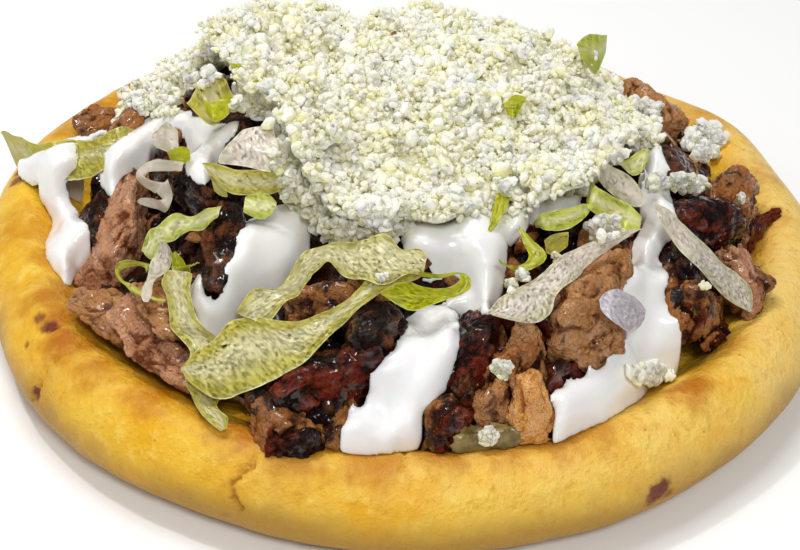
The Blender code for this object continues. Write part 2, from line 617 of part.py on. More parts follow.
def chunk_matrix(chunk):
    """Turns the piece onto the heap's slope at its place."""
    x, y, step = chunk.x, chunk.y, SLOPE_STEP
    rise_x = heap_height(x + step, y) - heap_height(x - step, y)
    rise_y = heap_height(x, y + step) - heap_height(x, y - step)
    up = Vector((-rise_x / (2 * step), -rise_y / (2 * step), 1)).normalized()
    turn = math.radians(chunk.turn)
    along = Vector((math.cos(turn), math.sin(turn), 0))
    along = (along - up * along.dot(up)).normalized()
    side = up.cross(along)
    lying = Matrix((along, side, up)).transposed().to_4x4()
    tilt = Matrix.Rotation(math.radians(-chunk.pitch), 4, "Y")
    tilt = tilt @ Matrix.Rotation(math.radians(chunk.roll), 4, "X")
    middle = Vector((x, y, float(heap_height(x, y))))
    middle += up * (chunk.lift - chunk.thickness / 2)
    return Matrix.Translation(middle) @ lying @ tilt


def make_chunk(chunk, laid):
    """Lays one piece: raises it a little off what it would cross, then lets it drape over the rest."""
    shape = chunk_shape(chunk)
    matrix = chunk_matrix(chunk)
    rest = reach(laid.top, CHUNK_REACH, np.maximum)
    spots = [matrix @ vertex.co for vertex in shape.verts]
    floor = read_map(rest, [spot.x for spot in spots], [spot.y for spot in spots]) + GAP
    sunk = [height - spot.z for spot, height, vertex in zip(spots, floor, shape.verts) if vertex.co.z < 0]
    lift = min(max(float(np.percentile(sunk, LIFTED_SHARE)), 0.0), MOST_LIFT)
    matrix = Matrix.Translation((0, 0, lift)) @ matrix
    back = matrix.inverted()
    tall = chunk.thickness
    for vertex, height in zip(shape.verts, floor):
        share = min(max(vertex.co.z / tall + 0.5, 0.0), 1.0)
        spot = matrix @ vertex.co
        spot.z = max(spot.z, height + share * tall * LEAST_THICKNESS)
        vertex.co = back @ spot
    thing = make_object(chunk.name, shape, chunk.look, matrix)
    laid.lay(thing)
    return thing


def make_bed(laid, ground, chunks):
    """The bed of chopped meat that carries the larger pieces: it meets each from below."""
    under = np.full(laid.top.shape, np.inf)
    for thing in chunks:
        low, _ = laid.heights_of(thing)
        under = np.minimum(under, low)
    under = reach(under, BED_REACH, np.minimum)
    floor = reach(ground, BED_FLOOR_REACH, np.maximum)
    shape = disc_sheet(BED_CELLS, lambda turn: BED_RADIUS)

    def bottom(x, y):
        return read_map(floor, x, y) + GAP

    def top(x, y):
        depth = np.interp(inside_cheese(x, y), *zip(*BED_DEPTHS))
        share = smooth_step(BED_RADIUS - np.hypot(x, y), *BED_EDGE_FROM_TO)
        wanted = heap_height(x, y) - BED_EDGE_DEPTH - (depth - BED_EDGE_DEPTH) * share
        wanted = wanted + BED_LUMP * noise_at(x, y, BED_LUMP_STEP, BED_LAYER)
        carried = nearest_of(under, x, y) - GAP
        return np.maximum(np.where(np.isfinite(carried), carried, wanted), bottom(x, y) + BED_LEAST)

    return make_object("meat_bed", dissolve_flats(thicken_between(shape, bottom, top)), "bed")


def along_stations(stations, row_length):
    """Rows at even steps along a smooth curve through the stations: place, side and the rest."""
    table = np.array(stations, float)
    steps = np.hypot(*np.diff(table[:, :2], axis=0).T)
    distance = np.concatenate([[0.0], np.cumsum(steps)])
    slopes = np.gradient(table, distance, axis=0)
    count = max(int(round(distance[-1] / row_length)), 3)
    rows = []
    for place in np.linspace(0, distance[-1], count + 1):
        index = min(int(np.searchsorted(distance, place, side="right")) - 1, len(table) - 2)
        span = distance[index + 1] - distance[index]
        t = (place - distance[index]) / span
        rows.append(
            (2 * t**3 - 3 * t**2 + 1) * table[index]
            + (t**3 - 2 * t**2 + t) * span * slopes[index]
            + (3 * t**2 - 2 * t**3) * table[index + 1]
            + (t**3 - t**2) * span * slopes[index + 1]
        )
    rows = np.array(rows)
    heading = np.gradient(rows[:, :2], axis=0)
    heading /= np.hypot(heading[:, 0], heading[:, 1])[:, None]
    side = np.stack([-heading[:, 1], heading[:, 0]], axis=1)
    return rows, side


def strip_sheet(row_count, columns):
    """A flat grid whose vertices carry their row and their place across, from -1 to 1."""
    shape = bmesh.new()
    bmesh.ops.create_grid(shape, x_segments=row_count - 1, y_segments=columns, size=1.0)
    return shape


def make_leaf(leaf, laid):
    """A strip of lettuce: a thin solid that lies over what is there, with ruffled edges."""
    rows, side = along_stations(leaf.stations, ALONG_LEAF)
    floor = reach(laid.top, LEAF_REACH, np.maximum)
    rest = soften(reach(laid.top, LEAF_REACH + 0.3, np.maximum), LEAF_SOFTENING)
    shape = strip_sheet(len(rows), leaf.columns)
    phase = random.Random(leaf.name).uniform(0, 2 * math.pi)
    for vertex in shape.verts:
        row = int(round((vertex.co.x + 1) / 2 * (len(rows) - 1)))
        across = vertex.co.y
        x, y, lift, half = rows[row]
        x += side[row][0] * half * across
        y += side[row][1] * half * across
        ripple = math.sin(2 * math.pi * row * ALONG_LEAF / leaf.wave + phase + LEAF_LAG * across)
        height = heap_height(x, y) + lift + leaf.ruffle * ripple * abs(across)
        height = max(height, float(read_map(rest, x, y)) + GAP, float(read_map(floor, x, y)) + GAP)
        vertex.co = Vector((x, y, height))
    bmesh.ops.triangulate(shape, faces=shape.faces[:])  # so that both faces are split alike
    made = bmesh.ops.extrude_face_region(shape, geom=shape.faces[:], use_keep_orig=True)
    raised = [item for item in made["geom"] if isinstance(item, bmesh.types.BMVert)]
    bmesh.ops.translate(shape, vec=(0, 0, LEAF_THICKNESS), verts=raised)
    thing = make_object(leaf.name, shape, leaf.look)
    laid.lay(thing)
    return thing


def make_lobe(name, stations, laid, collection):
    """One run of crema: flat below where it lies, smooth and rounded above."""
    rows, side = along_stations(stations, ALONG_CREMA)
    floor = reach(laid.top, CREMA_REACH, np.maximum)
    level = soften(floor, CREMA_SOFTENING)
    shape = strip_sheet(len(rows), CREMA_COLUMNS)
    for vertex in shape.verts:
        row = int(round((vertex.co.x + 1) / 2 * (len(rows) - 1)))
        across = vertex.co.y
        x, y, half, thickness = rows[row]
        from_end = 6.0 * min(row, len(rows) - 1 - row) / (len(rows) - 1)
        narrow = CREMA_END + (1 - CREMA_END) * min(1.0, from_end)
        vertex.co = Vector((x + side[row][0] * half * across * narrow,
                            y + side[row][1] * half * across * narrow, 0))

    def bottom(x, y):
        return np.maximum(read_map(floor, x, y) + GAP, heap_height(x, y) - CREMA_SINK)

    def top(x, y):
        apart = np.hypot(x[:, None] - rows[None, :, 0], y[:, None] - rows[None, :, 1])
        nearest = apart.argmin(axis=1)
        share = np.clip(apart[np.arange(len(x)), nearest] / rows[nearest, 2], 0, 1)
        crown = rows[nearest, 3] * np.sqrt(1 - CREMA_ROUNDING * share**2)
        rounded = np.maximum(read_map(level, x, y) + GAP, heap_height(x, y) - CREMA_SINK) + crown
        return np.maximum(rounded, bottom(x, y) + CREMA_EDGE)

    return make_object(name, thicken_between(shape, bottom, top), "crema", collection=collection)


def make_crema(crema, laid):
    lobes = [
        make_lobe(crema.name if index == 0 else f"{crema.name}_lobe", stations, laid,
                  parts if index == 0 else helpers)
        for index, stations in enumerate(crema.lobes)
    ]
    body = lobes[0]
    for lobe in lobes[1:]:
        join = body.modifiers.new("join", "BOOLEAN")
        join.operation = "UNION"
        join.object = lobe
        apply_modifiers(body)
        bpy.data.objects.remove(lobe, do_unlink=True)
    laid.lay(body)
    return body


def apply_modifiers(thing):
    """Keeps the object's evaluated mesh as its own, without its modifiers."""
    bpy.context.view_layer.update()
    graph = bpy.context.evaluated_depsgraph_get()
    mesh = bpy.data.meshes.new_from_object(thing.evaluated_get(graph), depsgraph=graph)
    thing.modifiers.clear()
    old = thing.data
    thing.data = mesh
    bpy.data.meshes.remove(old)


def keep_largest(thing):
    """Drops loose scraps: keeps the island with the most faces."""
    shape = bmesh.new()
    shape.from_mesh(thing.data)
    shape.faces.ensure_lookup_table()
    seen = set()
    islands = []
    for start in range(len(shape.faces)):
        if start in seen:
            continue
        seen.add(start)
        island = [start]
        for index in island:
            for edge in shape.faces[index].edges:
                for face in edge.link_faces:
                    if face.index not in seen:
                        seen.add(face.index)
                        island.append(face.index)
        islands.append(island)
    islands.sort(key=len)
    scraps = [shape.faces[index] for island in islands[:-1] for index in island]
    bmesh.ops.delete(shape, geom=scraps, context="FACES")
    bmesh.ops.recalc_face_normals(shape, faces=shape.faces[:])
    shape.to_mesh(thing.data)
    shape.free()


def clump_shape(size, deep, draw):
    """One clump of cheese: a low ball with few sides, knocked out of round, flat below."""
    shape = bmesh.new()
    bmesh.ops.create_icosphere(shape, subdivisions=1, radius=size / 2)
    stretch = Vector([draw.uniform(*limits) for limits in CLUMP_STRETCH])
    for vertex in shape.verts:
        push = 1 + draw.uniform(-CLUMP_UNEVEN, CLUMP_UNEVEN)
        vertex.co = Vector([vertex.co[axis] * stretch[axis] * push for axis in range(3)])
    turn = Matrix.Rotation(draw.uniform(0, math.pi), 4, "Z")
    turn = turn @ Matrix.Rotation(draw.uniform(-CLUMP_TILT, CLUMP_TILT), 4, "X")
    bmesh.ops.transform(shape, matrix=turn, verts=shape.verts)
    for vertex in shape.verts:
        if vertex.co.z < -deep:
            vertex.co.z = -deep - CLUMP_FLATTENED * (vertex.co.z + deep)
    return shape


def make_cheese(laid):
    """The crumbled cheese: a core over the toppings, with the clumps that show fused on."""
    floor = reach(laid.top, CHEESE_REACH, np.maximum)
    shape = disc_sheet(CHEESE_CELLS, cheese_edge)

    def bottom(x, y):
        return read_map(floor, x, y) + GAP

    def top(x, y):
        inside = smooth_step(inside_cheese(x, y), 0.0, CHEESE_SLOPE)
        relief = CHEESE_RELIEF * noise_at(x, y, CHEESE_RELIEF_STEP, CHEESE_LAYER)
        depth = np.maximum(heap_height(x, y) - CHEESE_SINK + relief - bottom(x, y), CHEESE_LEAST)
        return bottom(x, y) + CHEESE_LEAST + (depth - CHEESE_LEAST) * inside

    body = make_object("cheese_heap", thicken_between(shape, bottom, top), "cheese")
    draw = random.Random(CHEESE_SEED)
    smallest, largest = CLUMP_SIZES
    sizes = [smallest + (largest - smallest) * draw.random() for _ in range(CLUMP_COUNT)]
    sizes.sort(reverse=True)
    spots = list(range(CLUMP_COUNT))
    draw.shuffle(spots)
    clumps = bpy.data.collections.new("clumps")
    bpy.context.scene.collection.children.link(clumps)
    for size, spot in zip(sizes, spots):
        turn = spot * GOLDEN_ANGLE
        edge = cheese_edge((math.degrees(turn) + 180) % 360 - 180) - CLUMP_INSET * size
        radius = edge * ((spot + 0.5) / CLUMP_COUNT) ** CLUMP_SPACING
        x = radius * math.cos(turn) + draw.uniform(-CLUMP_WANDER, CLUMP_WANDER)
        y = radius * math.sin(turn) + draw.uniform(-CLUMP_WANDER, CLUMP_WANDER)
        height = float(top(np.array([x]), np.array([y]))[0]) + CLUMP_PROUD * size
        deep = height - float(read_map(floor, x, y)) - CLUMP_CLEAR
        place = Matrix.Translation((x, y, height))
        make_object(f"clump_{spot}", clump_shape(size, deep, draw), "cheese", place, clumps)
    fuse = body.modifiers.new("fuse", "BOOLEAN")
    fuse.operation = "UNION"
    fuse.operand_type = "COLLECTION"
    fuse.collection = clumps
    apply_modifiers(body)
    for clump in list(clumps.objects):
        bpy.data.objects.remove(clump, do_unlink=True)
    bpy.data.collections.remove(clumps)
    keep_largest(body)
    laid.lay(body)
    return body


def make_loose_clump(laid):
    """The loose clump of cheese that lies on the meat at the right."""
    x, y = LOOSE_CLUMP_PLACE
    draw = random.Random(LOOSE_CLUMP_SEED)
    shape = bmesh.new()
    bmesh.ops.create_icosphere(shape, subdivisions=2, radius=0.5)
    floor = reach(laid.top, LEAF_REACH, np.maximum)
    tall = LOOSE_CLUMP_SIZE[2]
    height = float(read_map(floor, x, y)) + GAP + tall * LOOSE_CLUMP_SINK
    for vertex in shape.verts:
        push = 1 + draw.uniform(-LOOSE_CLUMP_UNEVEN, LOOSE_CLUMP_UNEVEN)
        spot = Vector([vertex.co[axis] * LOOSE_CLUMP_SIZE[axis] * push for axis in range(3)])
        ground = float(read_map(floor, x + spot.x, y + spot.y)) + GAP - height
        share = min(max(vertex.co.z + 0.5, 0.0), 1.0)
        spot.z = max(spot.z, ground + share * tall * LOOSE_CLUMP_LEAST)
        vertex.co = spot
    thing = make_object("cheese_clump_right", shape, "cheese", Matrix.Translation((x, y, height)))
    laid.lay(thing)
    return thing


def touching(first, second):
    shapes = [world_shape(first), world_shape(second)]
    trees = [BVHTree.FromBMesh(shape) for shape in shapes]
    for shape in shapes:
        shape.free()
    return bool(trees[0].overlap(trees[1]))


def clear_of(later, earlier, swell):
    """Cuts the later piece back to where the earlier one, slightly swollen, isn't."""
    shape = world_shape(earlier)
    shape.normal_update()
    for vertex in shape.verts:
        vertex.co += vertex.normal * swell
    cutter = make_object("cutter", shape, "masa", collection=helpers)
    cutter.hide_render = True
    cutter.display_type = "WIRE"
    cut = later.modifiers.new("clear", "BOOLEAN")
    cut.operation = "DIFFERENCE"
    cut.object = cutter
    apply_modifiers(later)
    bpy.data.objects.remove(cutter, do_unlink=True)
    keep_largest(later)


def carve(things):
    """Where two pieces still cross, the one laid later gives way."""
    for index, later in enumerate(things):
        for earlier in things[:index]:
            for swell in (GAP, 1.5 * GAP, 2 * GAP):
                if touching(later, earlier):
                    clear_of(later, earlier, swell)


def build():
    clear_scene()
    noise.seed_set(NOISE_SEED)
    laid = LaidMap()
    base = make_base()
    laid.lay(base)
    spread = make_spread(laid)
    laid.lay(spread)
    ground = laid.top.copy()
    chunks = [make_chunk(chunk, laid) for chunk in MEAT]
    bed = make_bed(laid, ground, chunks)
    laid.lay(bed)
    under = [make_leaf(leaf, laid) for leaf in UNDER_LEAVES]
    crema = [make_crema(run, laid) for run in CREMA]
    over = [make_leaf(leaf, laid) for leaf in OVER_LEAVES]
    loose = make_loose_clump(laid)
    cheese = make_cheese(laid)
    top = [make_leaf(leaf, laid) for leaf in TOP_LEAVES]
    carve([base, spread, *chunks, bed, *under, *crema, *over, loose, cheese, *top])


build()
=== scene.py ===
"""The looks of a sope: a thick fried masa base with a pinched rim, chopped grilled meat over beans,
lettuce shreds, drizzled crema and a heap of crumbled fresh cheese.

Lengths are in millimetres until a piece is finished, and the front is at -Y. Where a piece lies
by what the photograph shows, its outline is given in the photograph's own 800 by 550 pixels, and
is dropped along the line of sight onto what carries it.
"""

import json
import math
import random

import bmesh
import bpy
import numpy as np
from mathutils import Euler, Matrix, Vector, noise
from mathutils.bvhtree import BVHTree


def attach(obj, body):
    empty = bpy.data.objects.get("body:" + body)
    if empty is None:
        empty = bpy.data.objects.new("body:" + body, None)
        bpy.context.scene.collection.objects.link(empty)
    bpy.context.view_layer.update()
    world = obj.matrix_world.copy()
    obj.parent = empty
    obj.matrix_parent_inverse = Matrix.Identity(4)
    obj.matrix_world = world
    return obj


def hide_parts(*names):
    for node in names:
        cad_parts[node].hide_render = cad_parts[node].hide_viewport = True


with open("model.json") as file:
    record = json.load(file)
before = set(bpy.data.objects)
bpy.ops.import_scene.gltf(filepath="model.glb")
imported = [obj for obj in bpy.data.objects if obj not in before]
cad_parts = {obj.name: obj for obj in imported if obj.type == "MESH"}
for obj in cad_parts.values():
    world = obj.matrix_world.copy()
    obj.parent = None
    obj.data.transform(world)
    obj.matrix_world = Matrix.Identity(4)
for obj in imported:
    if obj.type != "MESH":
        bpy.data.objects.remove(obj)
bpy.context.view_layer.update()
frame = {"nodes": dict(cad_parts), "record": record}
MM = 0.001
noise.seed_set(3)

# The view. The sope was photographed from close by and from above its front edge, with the
# camera a little tilted to one side. The floor is plain and pale, and so is the room. A large soft
# lamp hangs overhead, one stands in front, a weak one stands at the left, and a small hard one
# makes the wet sparkles.
TILT, ROLL = math.radians(36.22), math.radians(2.13)
DISTANCE = 220.0
TARGET = Vector((-0.55, -11.02, 8.0))
FOCAL = 1596.5  # in pixels of the photograph
PHOTO_WIDTH, PHOTO_HEIGHT = 800, 550
SENSOR = 36.0
back = Vector((0, -math.cos(TILT), math.sin(TILT)))
level = (-back).cross(Vector((0, 0, 1))).normalized()
upright = level.cross(-back)
right = level * math.cos(ROLL) + upright * math.sin(ROLL)
up = upright * math.cos(ROLL) - level * math.sin(ROLL)
eye = TARGET + back * DISTANCE
camera = bpy.data.objects.new("camera", bpy.data.cameras.new("camera"))
camera.matrix_world = Matrix.Translation(eye * MM) @ Matrix((right, up, back)).transposed().to_4x4()
camera.data.sensor_width = SENSOR
camera.data.lens = SENSOR * FOCAL / PHOTO_WIDTH
camera.data.clip_start = 0.01
bpy.context.scene.collection.objects.link(camera)
bpy.context.scene.camera = camera
bpy.context.scene.view_settings.view_transform = "Standard"
LAMPS = (  # name, place and size in metres, watts
    ("lamp_overhead", (-0.08, 0.10, 0.52), 0.24, 1.15),
    ("lamp_front", (0.08, -0.40, 0.46), 0.13, 1.34),
    ("lamp_left", (-0.36, -0.14, 0.26), 0.24, 0.24),
    ("lamp_sparkle", (-0.16, 0.05, 0.42), 0.02, 0.38),
)
LAMPS_FACE = Vector((0, 0, 0.01))
for name, place, size, watts in LAMPS:
    lamp = bpy.data.objects.new(name, bpy.data.lights.new(name, "AREA"))
    lamp.data.size = size
    lamp.data.energy = watts
    lamp.location = place
    lamp.rotation_euler = (LAMPS_FACE - lamp.location).to_track_quat("-Z", "Y").to_euler()
    bpy.context.scene.collection.objects.link(lamp)
room = bpy.data.worlds.new("room")
room.use_nodes = True
background = room.node_tree.nodes["Background"]
background.inputs["Color"].default_value = (1.0, 1.0, 0.99, 1.0)
background.inputs["Strength"].default_value = 0.29
bpy.context.scene.world = room

FLOOR_HALF = 3.0  # in metres
floor_shape = bmesh.new()
bmesh.ops.create_grid(floor_shape, x_segments=1, y_segments=1, size=FLOOR_HALF)
floor_mesh = bpy.data.meshes.new("floor")
floor_shape.to_mesh(floor_mesh)
floor_shape.free()
floor = bpy.data.objects.new("floor", floor_mesh)
floor_look = bpy.data.materials.new("pale_floor")
floor_look.use_nodes = True
floor_shader = floor_look.node_tree.nodes["Principled BSDF"]
floor_shader.inputs["Base Color"].default_value = (0.93, 0.93, 0.92, 1)
floor_shader.inputs["Roughness"].default_value = 0.9
floor_mesh.materials.append(floor_look)
bpy.context.scene.collection.objects.link(floor)

# The masa base. Corn dough patted into a thick disc, its edge pinched up by hand, then fried: the
# rim is golden and paler at the right, and the slope inside it and the outer side's foot are
# browner, from frying and from painted shade. It has a few cracks, small blisters, and dark spots
# where it touched the griddle, and painted shade darkens its cracks and hollows.
MAP_HALF, MAP_STEP = 68.0, 0.5
MAP_COUNT = int(2 * MAP_HALF / MAP_STEP) + 1
OVER_ALL = 90  # higher than any of the food


class HeightMap:
    """The highest point of what lies there so far, on a square grid seen from above."""

    def __init__(self):
        self.top = np.zeros((MAP_COUNT, MAP_COUNT))

    def lay(self, shape):
        tree = BVHTree.FromBMesh(shape)
        corners = np.array([vertex.co.to_2d() for vertex in shape.verts])
        low = np.floor((corners.min(0) + MAP_HALF) / MAP_STEP).astype(int)
        high = np.ceil((corners.max(0) + MAP_HALF) / MAP_STEP).astype(int)
        for row in range(max(low[1], 0), min(high[1] + 1, MAP_COUNT)):
            for column in range(max(low[0], 0), min(high[0] + 1, MAP_COUNT)):
                above = Vector((column * MAP_STEP - MAP_HALF, row * MAP_STEP - MAP_HALF, OVER_ALL))
                hit = tree.ray_cast(above, Vector((0, 0, -1)))[0]
                if hit is not None:
                    self.top[row, column] = max(self.top[row, column], hit.z)


def smooth_step(value, low, high):
    share = np.clip((value - low) / (high - low), 0.0, 1.0)
    return share * share * (3.0 - 2.0 * share)


def node_shape(name):
    """A CAD node's mesh in millimetres, with its loose triangles merged."""
    shape = bmesh.new()
    shape.from_mesh(frame["nodes"][name].data)
    bmesh.ops.scale(shape, vec=(1 / MM, 1 / MM, 1 / MM), verts=shape.verts)
    bmesh.ops.remove_doubles(shape, verts=shape.verts, dist=0.001)
    return shape


def modified(shape, kind, **settings):
    """The shape as one modifier makes it."""
    mesh = bpy.data.meshes.new("rough")
    shape.to_mesh(mesh)
    shape.free()
    thing = bpy.data.objects.new("rough", mesh)
    bpy.context.scene.collection.objects.link(thing)
    modifier = thing.modifiers.new("step", kind)
    for name, value in settings.items():
        setattr(modifier, name, value)
    bpy.context.view_layer.update()
    result = bmesh.new()
    result.from_object(thing, bpy.context.evaluated_depsgraph_get())
    bpy.data.objects.remove(thing, do_unlink=True)
    bpy.data.meshes.remove(mesh)
    return result


def subdivided(shape, levels):
    return modified(shape, "SUBSURF", levels=levels, render_levels=levels)


def add_piece(name, shape, material, slot, *nodes):
    """Makes the finished piece of a shape in millimetres. It stands for the CAD nodes named."""
    bmesh.ops.scale(shape, vec=(MM, MM, MM), verts=shape.verts)
    mesh = bpy.data.meshes.new(name)
    shape.to_mesh(mesh)
    shape.free()
    mesh.shade_smooth()
    mesh.materials.append(material)
    piece = bpy.data.objects.new(name, mesh)
    bpy.context.scene.collection.objects.link(piece)
    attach(piece, "root")
    if nodes:
        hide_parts(*nodes)
    return piece


def new_look(name, **values):
    """A material with plain values on its shader. Returns it with its tree and its shader."""
    look = bpy.data.materials.new(name)
    look.use_nodes = True
    shader = look.node_tree.nodes["Principled BSDF"]
    for socket, value in values.items():
        shader.inputs[socket.replace("_", " ")].default_value = value
    return look, look.node_tree, shader


def feed(tree, socket, value):
    if isinstance(value, bpy.types.NodeSocket):
        tree.links.new(value, socket)
    else:
        socket.default_value = value


def measured(tree, name, output="Fac"):
    """A value that the mesh carries at each vertex."""
    node = tree.nodes.new("ShaderNodeAttribute")
    node.attribute_name = name
    return node.outputs[output]


def mottle(tree, vector, scale, detail=3.0, rough=0.55, stretch=None):
    """Cloudy noise from 0 to 1. The scale is in features a metre."""
    if stretch is not None:
        mapping = tree.nodes.new("ShaderNodeMapping")
        mapping.inputs["Scale"].default_value = stretch
        tree.links.new(vector, mapping.inputs["Vector"])
        vector = mapping.outputs["Vector"]
    node = tree.nodes.new("ShaderNodeTexNoise")
    tree.links.new(vector, node.inputs["Vector"])
    node.inputs["Scale"].default_value = scale
    node.inputs["Detail"].default_value = detail
    node.inputs["Roughness"].default_value = rough
    return node.outputs["Fac"]


def cells(tree, vector, scale):
    """The distance from the middle of the nearest of many small cells."""
    node = tree.nodes.new("ShaderNodeTexVoronoi")
    tree.links.new(vector, node.inputs["Vector"])
    node.inputs["Scale"].default_value = scale
    return node.outputs["Distance"]


def ramp(tree, value, low, high, to_low=0.0, to_high=1.0):
    node = tree.nodes.new("ShaderNodeMapRange")
    node.interpolation_type = "SMOOTHSTEP"
    for socket, number in zip(node.inputs, (value, low, high, to_low, to_high)):
        feed(tree, socket, number)
    return node.outputs["Result"]


def arithmetic(tree, operation, first, second):
    node = tree.nodes.new("ShaderNodeMath")
    node.operation = operation
    feed(tree, node.inputs[0], first)
    feed(tree, node.inputs[1], second)
    return node.outputs["Value"]


def blend(tree, share, first, second):
    """One colour passing into another."""
    node = tree.nodes.new("ShaderNodeMix")
    node.data_type = "RGBA"
    feed(tree, node.inputs[0], share)
    feed(tree, node.inputs[6], (*first, 1.0) if isinstance(first, tuple) else first)
    feed(tree, node.inputs[7], (*second, 1.0) if isinstance(second, tuple) else second)
    return node.outputs[2]


def bump(tree, height, distance, strength=1.0, normal=None):
    node = tree.nodes.new("ShaderNodeBump")
    node.inputs["Strength"].default_value = strength
    node.inputs["Distance"].default_value = distance
    tree.links.new(height, node.inputs["Height"])
    if normal is not None:
        tree.links.new(normal, node.inputs["Normal"])
    return node.outputs["Normal"]


def own_place(tree):
    return tree.nodes.new("ShaderNodeTexCoord").outputs["Object"]


def sight(u, v):
    """The direction in which a pixel of the photograph looks."""
    return (-back * FOCAL + right * (u - PHOTO_WIDTH / 2) - up * (v - PHOTO_HEIGHT / 2)).normalized()


RIM_FROM = 43.0  # radius from which the rim is cut finer
# The inner slope's browning is partly frying and partly painted shade where the toppings meet the rim.
SLOPE_TO = 43.5  # radius up to which the inner slope is browner
# The outer side's foot is painted browner and darker, partly browning and partly painted shade.
OUTER_FROM, LOW_UNDER = 48.0, 11.5  # radius and height of the outer side that gets browner
PALE_FROM, PALE_FULL = 47, 54  # radii between which the right side turns pale
MASA_RADIUS = 60.0
SCORCH_DENT = 0.15  # how deep a dark spot lies
LUMPS = ((0.06, 0.40), (0.22, 0.13), (0.9, 0.045))  # noise step and height
CRACK_WIDTH, CRACK_DEPTH = 0.6, 0.7
CRACK_NEAR = 6  # a crack's line bears only on what is nearer to its start than this
CRACKS = (  # pixels of the photograph
    ((34, 399), (40, 386), (44, 372), (52, 361), (66, 352), (84, 344)),
    ((258, 452), (252, 466), (238, 477), (231, 484), (233, 499), (242, 512)),
    ((405, 452), (404, 464), (402, 470)),
    ((686, 426), (692, 430)),
)
SCORCHES = (  # pixel, radius in millimetres, strength
    (658, 492, 1.6, 1.0), (664, 486, 1.1, 1.0), (652, 500, 1.0, 0.8), (667, 494, 0.8, 0.7),
    (19, 172, 1.0, 1.0), (17, 180, 1.4, 0.9), (23, 168, 0.8, 0.8),
    (767, 222, 0.9, 0.9), (772, 215, 0.9, 1.0), (778, 210, 0.8, 0.7), (763, 227, 0.7, 0.5),
    (224, 517, 0.5, 0.4), (40, 318, 0.9, 0.8), (51, 327, 1.1, 1.0), (45, 328, 0.8, 0.8),
    (27, 345, 0.45, 0.8), (36, 394, 0.9, 1.0),
)
# Toasted spots, most of them along the inner edge against the toppings, where they are painted shade as
# well.
TOASTS_AND_SHADE = (  # pixel, radius in millimetres, strength
    (690, 388, 3.4, 0.9), (645, 372, 3.0, 0.8), (722, 345, 3.0, 0.6), (700, 368, 3.0, 0.4),
    (600, 434, 3.0, 0.6), (556, 438, 3.6, 0.8), (500, 447, 4.0, 0.7), (440, 452, 4.0, 0.8),
    (372, 457, 4.5, 0.7), (300, 453, 4.5, 0.7), (245, 430, 4.0, 0.9), (205, 408, 3.0, 0.7),
    (150, 397, 3.0, 0.7), (100, 365, 3.5, 0.7), (62, 340, 3.2, 1.0), (80, 345, 2.5, 0.8),
    (50, 300, 3.5, 0.8), (60, 262, 4.0, 0.5), (35, 225, 5.0, 0.5), (100, 112, 5.0, 0.8),
    (140, 88, 4.0, 0.9), (70, 130, 3.0, 0.6), (66, 292, 3.0, 0.8), (56, 318, 3.0, 0.9),
    (44, 256, 2.6, 0.7), (752, 250, 4.0, 0.5), (745, 178, 4.5, 0.5), (700, 115, 5.0, 0.4),
    (768, 222, 2.6, 0.7),
)
laid = HeightMap()
masa = node_shape("masa_base")
bmesh.ops.join_triangles(
    masa, faces=masa.faces,
    angle_face_threshold=math.radians(50), angle_shape_threshold=math.radians(80)
)
masa = subdivided(masa, 3)
around = []
for edge in masa.edges:
    first, second = (vertex.co for vertex in edge.verts)
    middle = (first + second) / 2
    along = (second - first).normalized()
    if math.hypot(middle.x, middle.y) > RIM_FROM and middle.z > 0.3:
        turning = Vector((-middle.y, middle.x, 0)).normalized()
        if abs(along.dot(turning)) > 0.8:
            around.append(edge)
bmesh.ops.subdivide_edges(masa, edges=around, cuts=1, use_grid_fill=True)
masa.normal_update()
masa_tree = BVHTree.FromBMesh(masa)
crack_lines = []
for crack in CRACKS:
    spots = [masa_tree.ray_cast(eye, sight(u, v))[0] for u, v in crack]
    crack_lines += list(zip(spots, spots[1:]))
toast_and_shade_spots, scorch_spots = (
    [(masa_tree.ray_cast(eye, sight(u, v))[0], size, much) for u, v, size, much in marks]
    for marks in (TOASTS_AND_SHADE, SCORCHES)
)
for name in ("relief", "toast", "scorch", "pale", "low"):
    masa.verts.layers.float.new(name)
relief_of, toast_and_shade_of, scorch_of, pale_of, foot_brown_and_shade_of = masa.verts.layers.float.values()
for vertex in masa.verts:
    place = vertex.co.copy()
    radius = math.hypot(place.x, place.y)
    change = sum(height * noise.noise(place * step) for step, height in LUMPS)
    for start, end in crack_lines:
        if (place - start).length > CRACK_NEAR:
            continue
        run = end - start
        share = min(max((place - start).dot(run) / run.length_squared, 0.0), 1.0)
        away = (place - start - run * share).length + 0.18 * noise.noise(place * 1.3)
        cut = max(0.0, 1 - away / CRACK_WIDTH)
        change -= CRACK_DEPTH * cut * cut
    scorch = 0.0
    for spot, size, much in scorch_spots:
        away = (place - spot).length / size + 0.5 * noise.noise(place * 1.6)
        scorch = max(scorch, much * float(smooth_step(1.25 - away, 0.0, 0.6)))
    cloud = noise.noise(place * 0.09) + 0.5 * noise.noise(place * 0.31)
    blotch = noise.noise(place * 0.45) + 0.6 * noise.noise(place * 1.2)
    inner = float(smooth_step(SLOPE_TO + 1.2 * cloud - radius, -2.5, 2.0))
    toast = 0.62 * inner + 0.22 * max(0.0, cloud - 0.15)
    for spot, size, much in toast_and_shade_spots:
        away = (place - spot).length / size
        if away < 2:
            toast = max(toast, much * float(smooth_step(1.6 - away + 0.55 * blotch, 0.0, 1.5)))
    vertex[relief_of] = change
    vertex[toast_and_shade_of] = min(1.0, toast)
    low = float(smooth_step(LOW_UNDER + 2.0 * cloud - place.z, 0.0, 7.5))
    vertex[foot_brown_and_shade_of] = low if radius > OUTER_FROM else 0.0
    vertex[scorch_of] = scorch
    side = 0.5 + 0.5 * (place.x / MASA_RADIUS) + 0.35 * cloud
    rim = float(smooth_step(radius, PALE_FROM, PALE_FULL))
    vertex[pale_of] = min(1.0, max(0.0, 0.85 * side * side * rim))
    vertex.co = place + vertex.normal * (change - SCORCH_DENT * scorch)
laid.lay(masa)

